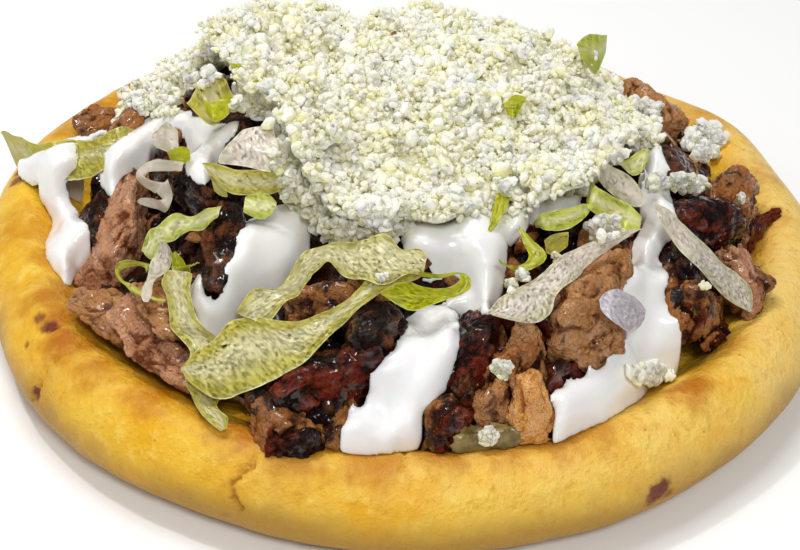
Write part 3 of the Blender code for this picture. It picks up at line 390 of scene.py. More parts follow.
masa_look, tree, shader = new_look("fried_masa", Roughness=0.42, Specular_IOR_Level=0.2,
                                   Coat_Weight=0.06, Coat_Roughness=0.3)
spot = own_place(tree)
grain = mottle(tree, spot, 900, 4.0, 0.62)
cloud = mottle(tree, spot, 95, 3.0)
speckle = mottle(tree, spot, 430, 4.0, 0.65)
colour = blend(tree, ramp(tree, cloud, 0.32, 0.68), (0.76, 0.385, 0.008), (0.80, 0.485, 0.035))
colour = blend(tree, measured(tree, "pale"), colour, (0.88, 0.62, 0.20))
colour = blend(tree, ramp(tree, speckle, 0.50, 0.70, 0.0, 0.6), colour, (0.88, 0.62, 0.12))
colour = blend(tree, ramp(tree, speckle, 0.46, 0.30, 0.0, 0.45), colour, (0.66, 0.29, 0.006))
# Painted shade and frying: the inner slope and the spots along the toppings turn dark orange brown.
colour = blend(tree, measured(tree, "toast"), colour, (0.44, 0.135, 0.003))
# Painted shade and browning: the outer side darkens towards its foot.
low = ramp(tree, measured(tree, "low"), 0.0, 1.0, 0.0, 0.92)
colour = blend(tree, low, colour, (0.40, 0.21, 0.022))
dots = ramp(tree, cells(tree, spot, 210), 0.055, 0.03)
colour = blend(tree, arithmetic(tree, "MULTIPLY", dots, 0.6), colour, (0.33, 0.12, 0.01))
# Painted shade: the hollows and cracks of the relief are darkened.
hollow_shade = ramp(tree, measured(tree, "relief"), -0.3, -0.7, 0.0, 0.6)
colour = blend(tree, hollow_shade, colour, (0.40, 0.17, 0.012))
colour = blend(tree, measured(tree, "scorch"), colour, (0.16, 0.03, 0.008))
tree.links.new(colour, shader.inputs["Base Color"])
tree.links.new(ramp(tree, grain, 0.3, 0.7, 0.34, 0.52), shader.inputs["Roughness"])
skin = bump(tree, mottle(tree, spot, 1500, 3.0), 0.0003, 0.7)
skin = bump(tree, speckle, 0.0010, 0.6, skin)
skin = bump(tree, ramp(tree, cells(tree, spot, 420), 0.0, 0.22, 1.0, 0.0), 0.00025, 0.5, skin)
tree.links.new(skin, shader.inputs["Normal"])
add_piece("masa", masa, masa_look, "masa", "masa_base")

# The beans and the bed of meat. A thin layer of refried beans is spread over the base, and the
# finely chopped, charred part of the meat lies on it. They show as a dark ground between the
# larger pieces; the bed's meat is painted darker than the charred pieces, as painted shade in the gaps.
SPREAD_VOXEL, BED_VOXEL = 0.8, 0.65


def remeshed(shape, voxel):
    """The shape's outer skin in even small faces."""
    return modified(shape, "REMESH", mode="VOXEL", voxel_size=voxel)


def smooth(shape, rounds):
    for _ in range(rounds):
        bmesh.ops.smooth_vert(
            shape, verts=shape.verts, factor=0.5, use_axis_x=True, use_axis_y=True, use_axis_z=True
        )


beans = remeshed(node_shape("bean_spread"), SPREAD_VOXEL)
smooth(beans, 3)
beans.normal_update()
for vertex in beans.verts:
    rise = 0.35 * noise.noise(vertex.co * 0.35) + 0.16 * noise.noise(vertex.co * 1.4)
    vertex.co += vertex.normal * rise
laid.lay(beans)
bean_look, tree, shader = new_look("refried_beans", Roughness=0.32, Coat_Weight=0.4, Coat_Roughness=0.2)
spot = own_place(tree)
share = ramp(tree, mottle(tree, spot, 500, 4.0), 0.35, 0.65)
colour = blend(tree, share, (0.13, 0.085, 0.018), (0.30, 0.215, 0.06))
tree.links.new(colour, shader.inputs["Base Color"])
tree.links.new(bump(tree, mottle(tree, spot, 1800, 3.0), 0.00025, 0.6), shader.inputs["Normal"])
add_piece("beans", beans, bean_look, "spread", "bean_spread")


def meat_relief(shape, along, seed, coarse, fine):
    """Tears the surface of cooked meat: lumps, fibres that run along it and a fine grain."""
    across = Vector((0, 0, 1)).cross(along)
    across = across.normalized() if across.length > 0.1 else Vector((1, 0, 0))
    over = along.cross(across)
    relief_layer = shape.verts.layers.float.new("relief")
    grain_layer = shape.verts.layers.float_vector.new("grain")
    shape.normal_update()
    for vertex in shape.verts:
        place = vertex.co
        local = Vector((place.dot(along), place.dot(across), place.dot(over)))
        fibres = noise.noise(Vector((local.x * 0.16, local.y * 0.95, local.z * 0.95)) + seed)
        swelling = noise.noise(place * 0.42 + seed)
        grit = noise.noise(place * 1.9 + seed) + 0.5 * noise.noise(place * 3.9 + seed)
        crease = -max(0.0, 0.16 - abs(noise.noise(place * 0.36 - seed))) / 0.16
        change = coarse * (0.9 * swelling + 0.55 * fibres + 0.45 * crease) + fine * grit
        # The relief it keeps sets painted shade in the meat's look: its hollows are darker.
        vertex[relief_layer] = 0.8 * swelling + 0.6 * fibres + 0.55 * grit + 0.8 * crease
        vertex[grain_layer] = (local * MM)[:]
        vertex.co = place + vertex.normal * change


bed = remeshed(node_shape("meat_bed"), BED_VOXEL)
smooth(bed, 2)
bmesh.ops.triangulate(bed, faces=bed.faces[:])
meat_relief(bed, Vector((0.8, 0.6, 0)), Vector((5, 9, 2)), 0.6, 0.2)
bed.normal_update()
laid.lay(bed)

# The grilled meat. Beef cut in strips and chopped with a knife on the griddle: some pieces are
# pale brown with pink fibres, some dark red and wet, and some are charred black. All of them
# glisten with fat.


def meat_group():
    """The colour and the surface of grilled meat, from pale cut fibres to char."""
    group = bpy.data.node_groups.new("grilled_meat", "ShaderNodeTree")
    for name, way, kind in (
        ("Fibre Colour", "INPUT", "Color"), ("Brown Colour", "INPUT", "Color"),
        ("Char Colour", "INPUT", "Color"), ("Char", "INPUT", "Float"), ("Colour", "OUTPUT", "Color"),
        ("Roughness", "OUTPUT", "Float"), ("Wet", "OUTPUT", "Float"), ("Normal", "OUTPUT", "Vector"),
    ):
        group.interface.new_socket(name, in_out=way, socket_type=f"NodeSocket{kind}")
    entry = group.nodes.new("NodeGroupInput").outputs
    leave = group.nodes.new("NodeGroupOutput").inputs
    grain = measured(group, "grain", "Vector")
    relief = measured(group, "relief")
    fibres = mottle(group, grain, 900, 5.0, 0.65, (0.18, 1.0, 1.0))
    patches = mottle(group, grain, 150, 3.0, 0.55)
    grit = mottle(group, grain, 1700, 3.0, 0.6)
    speckle = mottle(group, grain, 620, 5.0, 0.7)
    colour = blend(group, ramp(group, fibres, 0.35, 0.65), entry["Brown Colour"], entry["Fibre Colour"])
    colour = blend(group, ramp(group, speckle, 0.52, 0.70, 0.0, 0.6), colour, entry["Brown Colour"])
    crust = mottle(group, grain, 400, 4.0, 0.65)
    # The char reaches further into the hollows of the relief, as char and as painted shade.
    edge = arithmetic(group, "ADD", patches, arithmetic(group, "MULTIPLY", relief, -0.12))
    edge = arithmetic(group, "ADD", edge, arithmetic(group, "MULTIPLY", crust, 0.45))
    reached = arithmetic(group, "SUBTRACT", 1.13, entry["Char"])
    share = ramp(group, arithmetic(group, "SUBTRACT", edge, reached), -0.10, 0.09)
    colour = blend(group, share, colour, entry["Char Colour"])
    # Painted shade: the hollows of the relief are darkened towards the char colour.
    colour = blend(group, ramp(group, relief, -0.3, -1.1, 0.0, 0.9), colour, entry["Char Colour"])
    colour = blend(group, ramp(group, grit, 0.62, 0.74, 0.0, 0.5), colour, entry["Fibre Colour"])
    group.links.new(colour, leave["Colour"])
    group.links.new(ramp(group, grit, 0.35, 0.65, 0.25, 0.55), leave["Roughness"])
    group.links.new(ramp(group, mottle(group, grain, 260, 4.0, 0.7), 0.46, 0.60), leave["Wet"])
    normal = bump(group, fibres, 0.0009, 0.7)
    normal = bump(group, speckle, 0.0010, 0.8, normal)
    normal = bump(group, grit, 0.0009, 1.0, normal)
    group.links.new(normal, leave["Normal"])
    return group


meat = meat_group()
MEAT_LOOKS = {  # fibre, brown and char colours, how much is charred
    "charred": ((0.20, 0.060, 0.016), (0.095, 0.020, 0.005), (0.010, 0.002, 0.001), 0.44),
    "dark_red": ((0.24, 0.034, 0.010), (0.110, 0.009, 0.003), (0.012, 0.002, 0.001), 0.40),
    "brown": ((0.50, 0.205, 0.065), (0.32, 0.105, 0.024), (0.040, 0.008, 0.002), 0.35),
    "tan": ((0.64, 0.320, 0.130), (0.52, 0.220, 0.070), (0.14, 0.034, 0.008), 0.25),
    "pink": ((0.70, 0.360, 0.200), (0.56, 0.240, 0.110), (0.17, 0.040, 0.010), 0.23),
    "orange": ((0.92, 0.48, 0.170), (0.82, 0.34, 0.070), (0.40, 0.11, 0.015), 0.18),
    # The bed is painted darker than the charred pieces: painted shade in the gaps between them.
    "bed": ((0.08, 0.020, 0.006), (0.040, 0.008, 0.002), (0.006, 0.002, 0.001), 0.44),
}
meat_looks = {}
for name, (fibre, brown, char, charred) in MEAT_LOOKS.items():
    look, tree, shader = new_look(f"meat_{name}", Coat_Roughness=0.06, Specular_IOR_Level=0.12)
    node = tree.nodes.new("ShaderNodeGroup")
    node.node_tree = meat
    for socket, value in zip(node.inputs, ((*fibre, 1), (*brown, 1), (*char, 1), charred)):
        socket.default_value = value
    for output, socket in zip(node.outputs, ("Base Color", "Roughness", "Coat Weight", "Normal")):
        tree.links.new(output, shader.inputs[socket])
    meat_looks[name] = look


def soften(values, rounds):
    """Mixes each cell with its four neighbours, round after round."""
    for _ in range(rounds):
        padded = np.pad(values, 1, mode="edge")
        beside = padded[:-2, 1:-1] + padded[2:, 1:-1] + padded[1:-1, :-2] + padded[1:-1, 2:]
        values = 0.5 * values + 0.125 * beside
    return values


def read_map(values, x, y):
    """The map's value at a place, between its cells."""
    column = np.clip((np.asarray(x, float) + MAP_HALF) / MAP_STEP, 0, MAP_COUNT - 1.001)
    row = np.clip((np.asarray(y, float) + MAP_HALF) / MAP_STEP, 0, MAP_COUNT - 1.001)
    left, low = column.astype(int), row.astype(int)
    across, rise = column - left, row - low
    near = values[low, left] * (1 - across) + values[low, left + 1] * across
    far = values[low + 1, left] * (1 - across) + values[low + 1, left + 1] * across
    return near * (1 - rise) + far * rise


def lump(shape, draw, placing, level, sides, rough, grain):
    """A small irregular lump with flat broken sides. Returns its vertices."""
    made = bmesh.ops.create_icosphere(shape, subdivisions=level, radius=1.0)["verts"]
    cuts = []
    for _ in range(sides):
        side = Vector([draw.gauss(0, 1) for _ in range(3)]).normalized()
        cuts.append((side, draw.uniform(0.45, 0.85)))
    for vertex in made:
        share = 1.0
        for side, depth in cuts:
            out = vertex.co.dot(side)
            if out > depth:
                share = min(share, depth / out)
        vertex.co = placing @ (vertex.co * share)
        vertex.co += noise.noise_vector(vertex.co * grain) * rough
    return made


def gathered(parts):
    """One shape of many batches. Small batches keep the making of many lumps quick."""
    shape = bmesh.new()
    for batch in parts:
        part = bpy.data.meshes.new("batch")
        batch.to_mesh(part)
        batch.free()
        shape.from_mesh(part)
        bpy.data.meshes.remove(part)
    return shape


def by_area(faces):
    """Triangles with the running sum of their areas."""
    return faces, np.cumsum([face.calc_area() for face in faces])


def spread_over(faces, draw):
    """A random place on triangles from by_area, with the normal there."""
    face = faces[0][int(np.searchsorted(faces[1], draw.random() * faces[1][-1]))]
    first, second = sorted((draw.random(), draw.random()))
    corners = [vertex.co for vertex in face.verts]
    return corners[0] * first + corners[1] * (second - first) + corners[2] * (1 - second), face.normal


BATCH = 40  # lumps


def batches_of(count):
    """Empty batches for so many lumps, each with its relief layer and its own number of lumps."""
    for start in range(0, count, BATCH):
        batch = bmesh.new()
        yield batch, batch.verts.layers.float.new("relief"), min(BATCH, count - start)


# The node meshes together, eased over, give the height that carries each piece.
carrier = HeightMap()
for name in frame["nodes"]:
    carrier_shape = node_shape(name)
    carrier.lay(carrier_shape)
    carrier_shape.free()
carrier_top = soften(carrier.top, 4)

CHIP_COVER = 4.0  # how deep the bed may lie under the rest and still get chips
CHIP_LONG, CHIP_WIDE, CHIP_FLAT = (3.0, 7.5), (0.45, 0.7), (1.6, 2.8)  # its width is a share
CHIPS = (  # look, count, seed
    ("charred", 300, 41), ("dark_red", 260, 42), ("brown", 380, 43), ("tan", 150, 44),
)
open_faces = []
for face in bed.faces:
    middle = face.calc_center_median()
    covered = float(read_map(carrier_top, middle.x, middle.y)) - middle.z
    if face.normal.z > 0.1 and covered < CHIP_COVER:
        open_faces.append(face)
open_bed = by_area(open_faces)
for look_name, count, seed in CHIPS:
    draw = random.Random(seed)
    batches = []
    for batch, relief_layer, lumps in batches_of(count):
        grain_layer = batch.verts.layers.float_vector.new("grain")
        for _ in range(lumps):
            place, normal = spread_over(open_bed, draw)
            length = draw.uniform(*CHIP_LONG)
            size = Vector((length, draw.uniform(*CHIP_WIDE) * length, draw.uniform(*CHIP_FLAT))) / 2
            turn = normal.to_track_quat("Z", "X") @ Euler(
                (draw.uniform(-0.5, 0.5), draw.uniform(-0.5, 0.5), draw.uniform(0, math.tau))
            ).to_quaternion()
            placing = Matrix.LocRotScale(place + normal * size.z * 0.45, turn, size)
            back_turn = turn.inverted()
            for vertex in lump(batch, draw, placing, 2, 7, 0.2, 0.9):
                vertex[grain_layer] = (back_turn @ vertex.co * MM)[:]
                over = (vertex.co - place).dot(normal)
                # The relief falls towards a chip's foot, so its lower side gets painted shade.
                vertex[relief_layer] = 0.9 * noise.noise(vertex.co * 1.1) - 0.35 + 0.25 * over
        batches.append(batch)
    shape = gathered(batches)
    laid.lay(shape)
    add_piece(f"chopped_{look_name}", shape, meat_looks[look_name], look_name)
add_piece("chopped_meat_bed", bed, meat_looks["bed"], "bed", "meat_bed")

MEAT_VOXEL, MEAT_SWELL = 0.34, 0.35  # it swells by about what the smoothing takes off
OWN_LOOK = {  # pieces that look other than the rest of their kind
    "meat_right_tan": "brown", "meat_right_slab": "pink", "meat_right_outer": "brown",
    "meat_front_low": "charred", "meat_front_rib": "charred", "meat_right_upper": "charred",
    "meat_front_tan": "brown", "meat_back_left": "dark_red", "meat_left_rim": "brown",
}
ROLLED = "meat_left_strip"  # made with the chunks below


def long_axis(shape):
    """The direction in which a shape is longest."""
    spots = np.array([vertex.co for vertex in shape.verts])
    return Vector(np.linalg.svd(spots - spots.mean(0), full_matrices=False)[2][0])


slots = {entry["node"]: entry["material_slot"] for entry in frame["record"]["subparts"]}
meat_nodes = sorted(node for node in slots if node.startswith("meat_") and node != "meat_bed")
for index, name in enumerate(meat_nodes):
    if name == ROLLED:
        continue
    shape = node_shape(name)
    direction = long_axis(shape)
    shape = subdivided(shape, 2)
    shape.normal_update()
    for vertex in shape.verts:
        vertex.co += vertex.normal * MEAT_SWELL
    shape = remeshed(shape, MEAT_VOXEL)
    smooth(shape, 3)
    seed = Vector((index * 3.1, index * 1.7, index * 2.3))
    meat_relief(shape, direction, seed, 0.55, 0.22)
    laid.lay(shape)
    add_piece(f"{name}_piece", shape, meat_looks[OWN_LOOK.get(name, slots[name])], slots[name], name)


FOOD_UNDER, SIGHT_STEP = 60, 0.2  # a height over all food, and the step along a line of sight


def on_photo(u, v, lift=0.0, heights=carrier_top):
    """Where the line of sight through a pixel meets the food, raised by a lift."""
    direction = sight(u, v)
    steps = np.arange((eye.z - FOOD_UNDER) / -direction.z, eye.z / -direction.z, SIGHT_STEP)
    spots = np.array(eye) + steps[:, None] * np.array(direction)
    under = spots[:, 2] <= read_map(heights, spots[:, 0], spots[:, 1]) + lift
    return spots[int(np.argmax(under))] if under.any() else spots[-1]


def smooth_rows(table, length):
    """Rows at even steps along a smooth curve through the stations."""
    half = table.shape[1] // 2
    middle = (table[:, :half] + table[:, half:]) / 2
    steps = np.linalg.norm(np.diff(middle, axis=0), axis=1)
    distance = np.concatenate([[0.0], np.cumsum(steps)])
    slopes = np.gradient(table, distance, axis=0)
    count = max(int(round(distance[-1] / length)), 4)
    rows = []
    for place in np.linspace(0, distance[-1], count + 1):
        index = min(int(np.searchsorted(distance, place, side="right")) - 1, len(table) - 2)
        span = distance[index + 1] - distance[index]
        t = (place - distance[index]) / span
        rows.append(
            (2 * t**3 - 3 * t**2 + 1) * table[index]
            + (t**3 - 2 * t**2 + t) * span * slopes[index]
            + (3 * t**2 - 2 * t**3) * table[index + 1]
            + (t**3 - t**2) * span * slopes[index + 1]
        )
    return np.array(rows), np.linspace(0, distance[-1], count + 1)


def seen_at(x, y, z):
    """The pixels of the photograph at which places are seen."""
    away = np.stack([x - eye.x, y - eye.y, z - eye.z], axis=-1)
    ahead = -away @ np.array(back)
    across, rise = away @ np.array(right), away @ np.array(up)
    return PHOTO_WIDTH / 2 + FOCAL * across / ahead, PHOTO_HEIGHT / 2 - FOCAL * rise / ahead


def reach(values, radius):
    """Each cell's highest neighbour within a radius in millimetres."""
    cells = int(math.ceil(radius / MAP_STEP))
    padded = np.pad(values, cells, mode="edge")
    result = values.copy()
    for down in range(-cells, cells + 1):
        for across in range(-cells, cells + 1):
            if math.hypot(down, across) * MAP_STEP > radius + 0.01:
                continue
            row, column = cells + down, cells + across
            result = np.maximum(result, padded[row:row + MAP_COUNT, column:column + MAP_COUNT])
    return result


def inside_depth(outline, x, y):
    """How far inside an outline each place lies; below 0 outside."""
    inside = np.zeros(len(x), bool)
    nearest = np.full(len(x), np.inf)
    for (x0, y0), (x1, y1) in zip(outline, np.roll(outline, -1, axis=0)):
        crosses = (y0 > y) != (y1 > y)
        meet = x0 + (y - y0) * (x1 - x0) / (y1 - y0 if y1 != y0 else 1e-9)
        inside ^= crosses & (x < meet)
        run = max((x1 - x0) ** 2 + (y1 - y0) ** 2, 1e-9)
        share = np.clip(((x - x0) * (x1 - x0) + (y - y0) * (y1 - y0)) / run, 0, 1)
        nearest = np.minimum(nearest, np.hypot(x - x0 - share * (x1 - x0), y - y0 - share * (y1 - y0)))
    return np.where(inside, nearest, -nearest)


COVER_CELL, COVER_VOXEL, COVER_MARGIN = 0.42, 0.34, 4
OUTLINE_STEP = 9.0  # in pixels
COVER_FALL = 1.8  # how far in from its edge a layer lies on each dip of what is under it
COVER_SINK = 0.15  # how far it may sink in where it bridges a gap
COVER_LEAST = 0.02  # there is no layer where it would be shallower than this
COVER_THINNEST = 0.2  # where there is one, it is at least this thick
WOBBLE_STEP, TEAR_STEP = 0.22, 0.6  # of the noise in its height and in its outline
FLOOR_CLEAR = 3.0  # lower than this is the floor


def doubled(shape):
    """Gives a sheet a second side, joined to it all round. Returns that side's vertices."""
    made = bmesh.ops.extrude_face_region(shape, geom=shape.faces[:], use_keep_orig=True)
    return {item for item in made["geom"] if isinstance(item, bmesh.types.BMVert)}


def cover(runs, rounds, ragged, fall=4.0, lowest=FLOOR_CLEAR):
    """A soft layer over what lies there, inside outlines of the photograph's pixels.

    Each run is its depth, how far in from its edge it reaches that depth, and pairs of pixels. More
    rounds make it bridge wider gaps. Its edge may hang down as far as its fall."""
    outlines = []
    for depth, rounding, edges in runs:
        table, _ = smooth_rows(np.array(edges, float), OUTLINE_STEP)
        outlines.append((depth, rounding, np.concatenate([table[:, :2], table[::-1, 2:]])))
    bridged = soften(reach(laid.top, 1.0), rounds)
    pixels = []
    for _, _, outline in outlines:
        middle = outline.mean(0)
        for share in (0.0, 0.35, 0.7, 1.0):
            pixels += [middle + (corner - middle) * share for corner in outline]
        pixels += [(corner + other) / 2 for corner, other in zip(outline, outline[::-1])]
    corners = np.array([on_photo(u, v, 0, bridged)[:2] for u, v in pixels])
    low, high = corners.min(0) - COVER_MARGIN, corners.max(0) + COVER_MARGIN
    columns, lines = (int(size) for size in np.ceil((high - low) / COVER_CELL))
    shape = bmesh.new()
    bmesh.ops.create_grid(shape, x_segments=columns, y_segments=lines, size=0.5)
    x = np.array([low[0] + (vertex.co.x + 0.5) * (high[0] - low[0]) for vertex in shape.verts])
    y = np.array([low[1] + (vertex.co.y + 0.5) * (high[1] - low[1]) for vertex in shape.verts])
    draped = soften(reach(laid.top, 0.5), 3)
    rest = read_map(soften(np.maximum(bridged, draped - COVER_SINK), 4), x, y)
    wobble, tears = (
        np.array([noise.noise(Vector((a * step, b * step, plane))) for a, b in zip(x, y)])
        for step, plane in ((WOBBLE_STEP, 4.0), (TEAR_STEP, 9.0))
    )
    ground = np.maximum(read_map(soften(laid.top, 2), x, y), rest - fall)
    top = rest
    for _ in range(3):
        depths = np.zeros(len(x))
        innermost = np.full(len(x), -1.0)
        u, v = seen_at(x, y, top)
        for depth, rounding, outline in outlines:
            inside = inside_depth(outline, u, v) * DISTANCE / FOCAL + 2 * ragged * tears
            inside = np.where(rest < lowest, -1.0, inside)
            share = np.clip(inside / rounding, 0, 1)
            crown = depth * np.sqrt(1 - (1 - share) ** 2) * (1 + 0.22 * wobble)
            depths = np.maximum(depths, np.where(inside > 0, crown, 0))
            innermost = np.maximum(innermost, inside)
        made = ground + (rest - ground) * smooth_step(innermost, 0.0, COVER_FALL) + depths
        top = 0.35 * top + 0.65 * made
    bottom = np.minimum(read_map(laid.top, x, y) + 0.05, top - COVER_THINNEST)
    for index, vertex in enumerate(shape.verts):
        vertex.co = Vector((x[index], y[index], index))
    empty = [
        face for face in shape.faces
        if all(depths[int(round(vertex.co.z))] <= COVER_LEAST for vertex in face.verts)
    ]
    bmesh.ops.delete(shape, geom=empty, context="FACES")
    raised = doubled(shape)
    for vertex in shape.verts:
        index = int(round(vertex.co.z))
        vertex.co.z = top[index] if vertex in raised else bottom[index]
    bmesh.ops.recalc_face_normals(shape, faces=shape.faces[:])
    return remeshed(shape, COVER_VOXEL)


SLOT_OF = {"orange": "tan"}  # the slot of a look that has none of its own


def add_chunk(name, look_name, depth, edges, rounding=1.5, node=None):
    """A piece of meat between pairs of pixels of the photograph, lying on what is there."""
    shape = cover(((depth, rounding, edges),), rounds=45, ragged=0.25)
    smooth(shape, 3)
    meat_relief(shape, long_axis(shape), Vector((len(name), edges[0][0] * 0.37, 2.0)), 0.5, 0.2)
    laid.lay(shape)
    slot = SLOT_OF.get(look_name, look_name)
    add_piece(name, shape, meat_looks[look_name], slot, *([node] if node else []))


add_chunk("rolled_strip", "pink", 6.0, (
    (124, 168, 142, 163), (116, 178, 149, 172), (112, 192, 148, 192), (106, 212, 146, 214),
    (98, 234, 143, 238), (88, 254, 138, 256), (78, 270, 128, 272), (73, 282, 118, 285),
), 5.2, "meat_left_strip")
add_chunk("chunk_left_dark", "charred", 1.8, (
    (147, 171, 150, 180), (160, 170, 162, 187), (178, 172, 178, 194), (195, 178, 194, 202),
    (210, 187, 209, 207), (223, 198, 222, 207),
))
add_chunk("chunk_front_low", "brown", 2.6, (
    (249, 410, 251, 421), (258, 396, 255, 434), (268, 388, 264, 445), (280, 397, 279, 448),
    (295, 411, 297, 448), (310, 417, 315, 446), (323, 425, 328, 441),
))
add_chunk("chunk_front_low_red", "dark_red", 3.0, (
    (262, 430, 264, 443), (280, 432, 283, 449), (300, 430, 303, 449), (322, 428, 326, 446),
))
add_chunk("chunk_front_red", "dark_red", 2.6, (
    (268, 391, 276, 406), (283, 375, 293, 405), (305, 367, 320, 396), (325, 361, 346, 389),
    (345, 352, 366, 384), (363, 344, 380, 368), (379, 338, 390, 352),
))
add_chunk("chunk_front_dark", "charred", 1.8, (
    (350, 320, 344, 342), (367, 307, 361, 351), (385, 303, 381, 350), (401, 312, 397, 344),
))
add_chunk("chunk_front_under", "brown", 1.8, (
    (322, 430, 324, 442), (333, 418, 336, 443), (342, 402, 346, 440), (355, 392, 358, 425),
))
add_chunk("chunk_front_mid", "brown", 2.2, (
    (420, 412, 424, 441), (436, 399, 438, 445), (452, 392, 453, 441), (467, 393, 465, 424),
))
add_chunk("chunk_front_mid_red", "dark_red", 2.6, (
    (435, 424, 438, 438), (450, 414, 455, 433), (466, 408, 470, 422), (476, 408, 478, 415),
))
add_chunk("chunk_middle_dark", "dark_red", 2.0, (
    (456, 320, 455, 398), (466, 314, 463, 404), (479, 313, 474, 398), (491, 316, 484, 378),
    (501, 322, 496, 366),
))
add_chunk("chunk_middle_black", "charred", 2.0, (
    (452, 382, 456, 398), (464, 372, 468, 396), (476, 360, 478, 386),
))
add_chunk("chunk_middle_curl", "brown", 2.4, (
    (482, 372, 485, 385), (494, 352, 498, 382), (510, 346, 513, 376), (527, 344, 530, 370),
    (541, 347, 543, 360),
))
add_chunk("chunk_middle_tan", "tan", 2.6, (
    (474, 398, 477, 410), (486, 384, 489, 420), (500, 378, 503, 425), (513, 378, 512, 420),
))
add_chunk("chunk_orange", "orange", 3.2, (
    (517, 376, 507, 413), (529, 371, 518, 428), (541, 378, 534, 432), (551, 392, 547, 431),
    (556, 410, 555, 425),
))
add_chunk("chunk_right_red", "dark_red", 2.2, (
    (545, 361, 548, 384), (558, 356, 563, 387), (574, 358, 582, 382), (590, 367, 597, 377),
))
add_chunk("chunk_right_crumbled", "tan", 2.0, (
    (573, 347, 573, 358), (590, 342, 588, 366), (606, 332, 607, 358), (622, 332, 622, 350),
))
add_chunk("chunk_right_slab", "tan", 2.0, (
    (628, 241, 633, 245), (610, 256, 635, 266), (590, 270, 629, 283), (572, 283, 618, 300),
    (557, 298, 606, 316), (549, 316, 596, 334), (546, 332, 585, 345), (556, 347, 570, 351),
))
add_chunk("chunk_far_dark", "charred", 2.0, (
    (668, 243, 672, 268), (680, 238, 684, 280), (694, 244, 694, 282), (706, 254, 704, 278),
))
add_chunk("chunk_far_low", "dark_red", 2.2, (
    (668, 288, 672, 306), (680, 284, 686, 318), (694, 290, 702, 328), (708, 300, 716, 338),
    (722, 312, 728, 336),
))
add_chunk("chunk_far_lumps", "brown", 2.2, (
    (680, 284, 682, 300), (692, 280, 696, 316), (706, 286, 712, 326), (720, 300, 722, 322),
))
add_chunk("chunk_far_outer", "pink", 2.4, (
    (712, 250, 716, 262), (724, 248, 727, 276), (738, 250, 741, 292), (750, 260, 750, 308),
    (760, 284, 757, 312), (767, 293, 763, 304),
))
add_chunk("chunk_far_tan", "pink", 1.6, (
    (735, 198, 737, 212), (744, 193, 745, 226), (752, 198, 753, 229), (757, 210, 756, 222),
))
add_chunk("chunk_far_tail", "dark_red", 1.2, (
    (748, 222, 750, 231), (758, 216, 761, 229), (768, 210, 772, 220), (779, 206, 782, 211),
), 0.9)
add_chunk("chunk_far_back", "dark_red", 2.2, (
    (672, 206, 674, 222), (690, 200, 692, 228), (710, 199, 712, 232), (730, 203, 731, 232),
    (745, 212, 745, 228),
))

# The pool. Fat and juice have run out of the meat over the beans at the front, where they make a
# small shining pool.
pool = cover(((0.9, 2.4, (
    (446, 438, 448, 444), (456, 430, 459, 447), (476, 423, 482, 448), (500, 422, 506, 443),
    (514, 427, 519, 439), (524, 431, 526, 436),
)),), rounds=12, ragged=0.1)
smooth(pool, 8)
laid.lay(pool)
add_piece("bean_pool", pool, bean_look, "spread")

# The lettuce. Iceberg cut in shreds: thin wet leaf with ruffled edges, pale at the rib and yellow
# green at the edge of the leaf.
LEAF_ROW, LEAF_COLUMNS = 0.62, 12  # the length of a row of faces, and how many lie across
LEAF_CLEAR = 0.12  # a blade's least height over what it lies on
LEAF_STEEP = 0.9  # how far an edge may lie before or behind the middle, against half the width
LEAF_LEVEL = 0.8  # the first part of that half width, which lies level
LEAF_STIFF, LEAF_EASE = 12, 45  # rounds by which a blade evens out the bumps under it


def drawn_clear(spot, ground, gap):
    """Draws a place towards the camera until it lies over the ground, with a gap between."""
    for _ in range(4):
        short = float(read_map(ground, spot[0], spot[1])) + gap - spot[2]
        if short <= 0:
            break
        toward = np.array(eye) - spot
        spot = spot + toward * (0.85 * short / toward[2])
    return spot


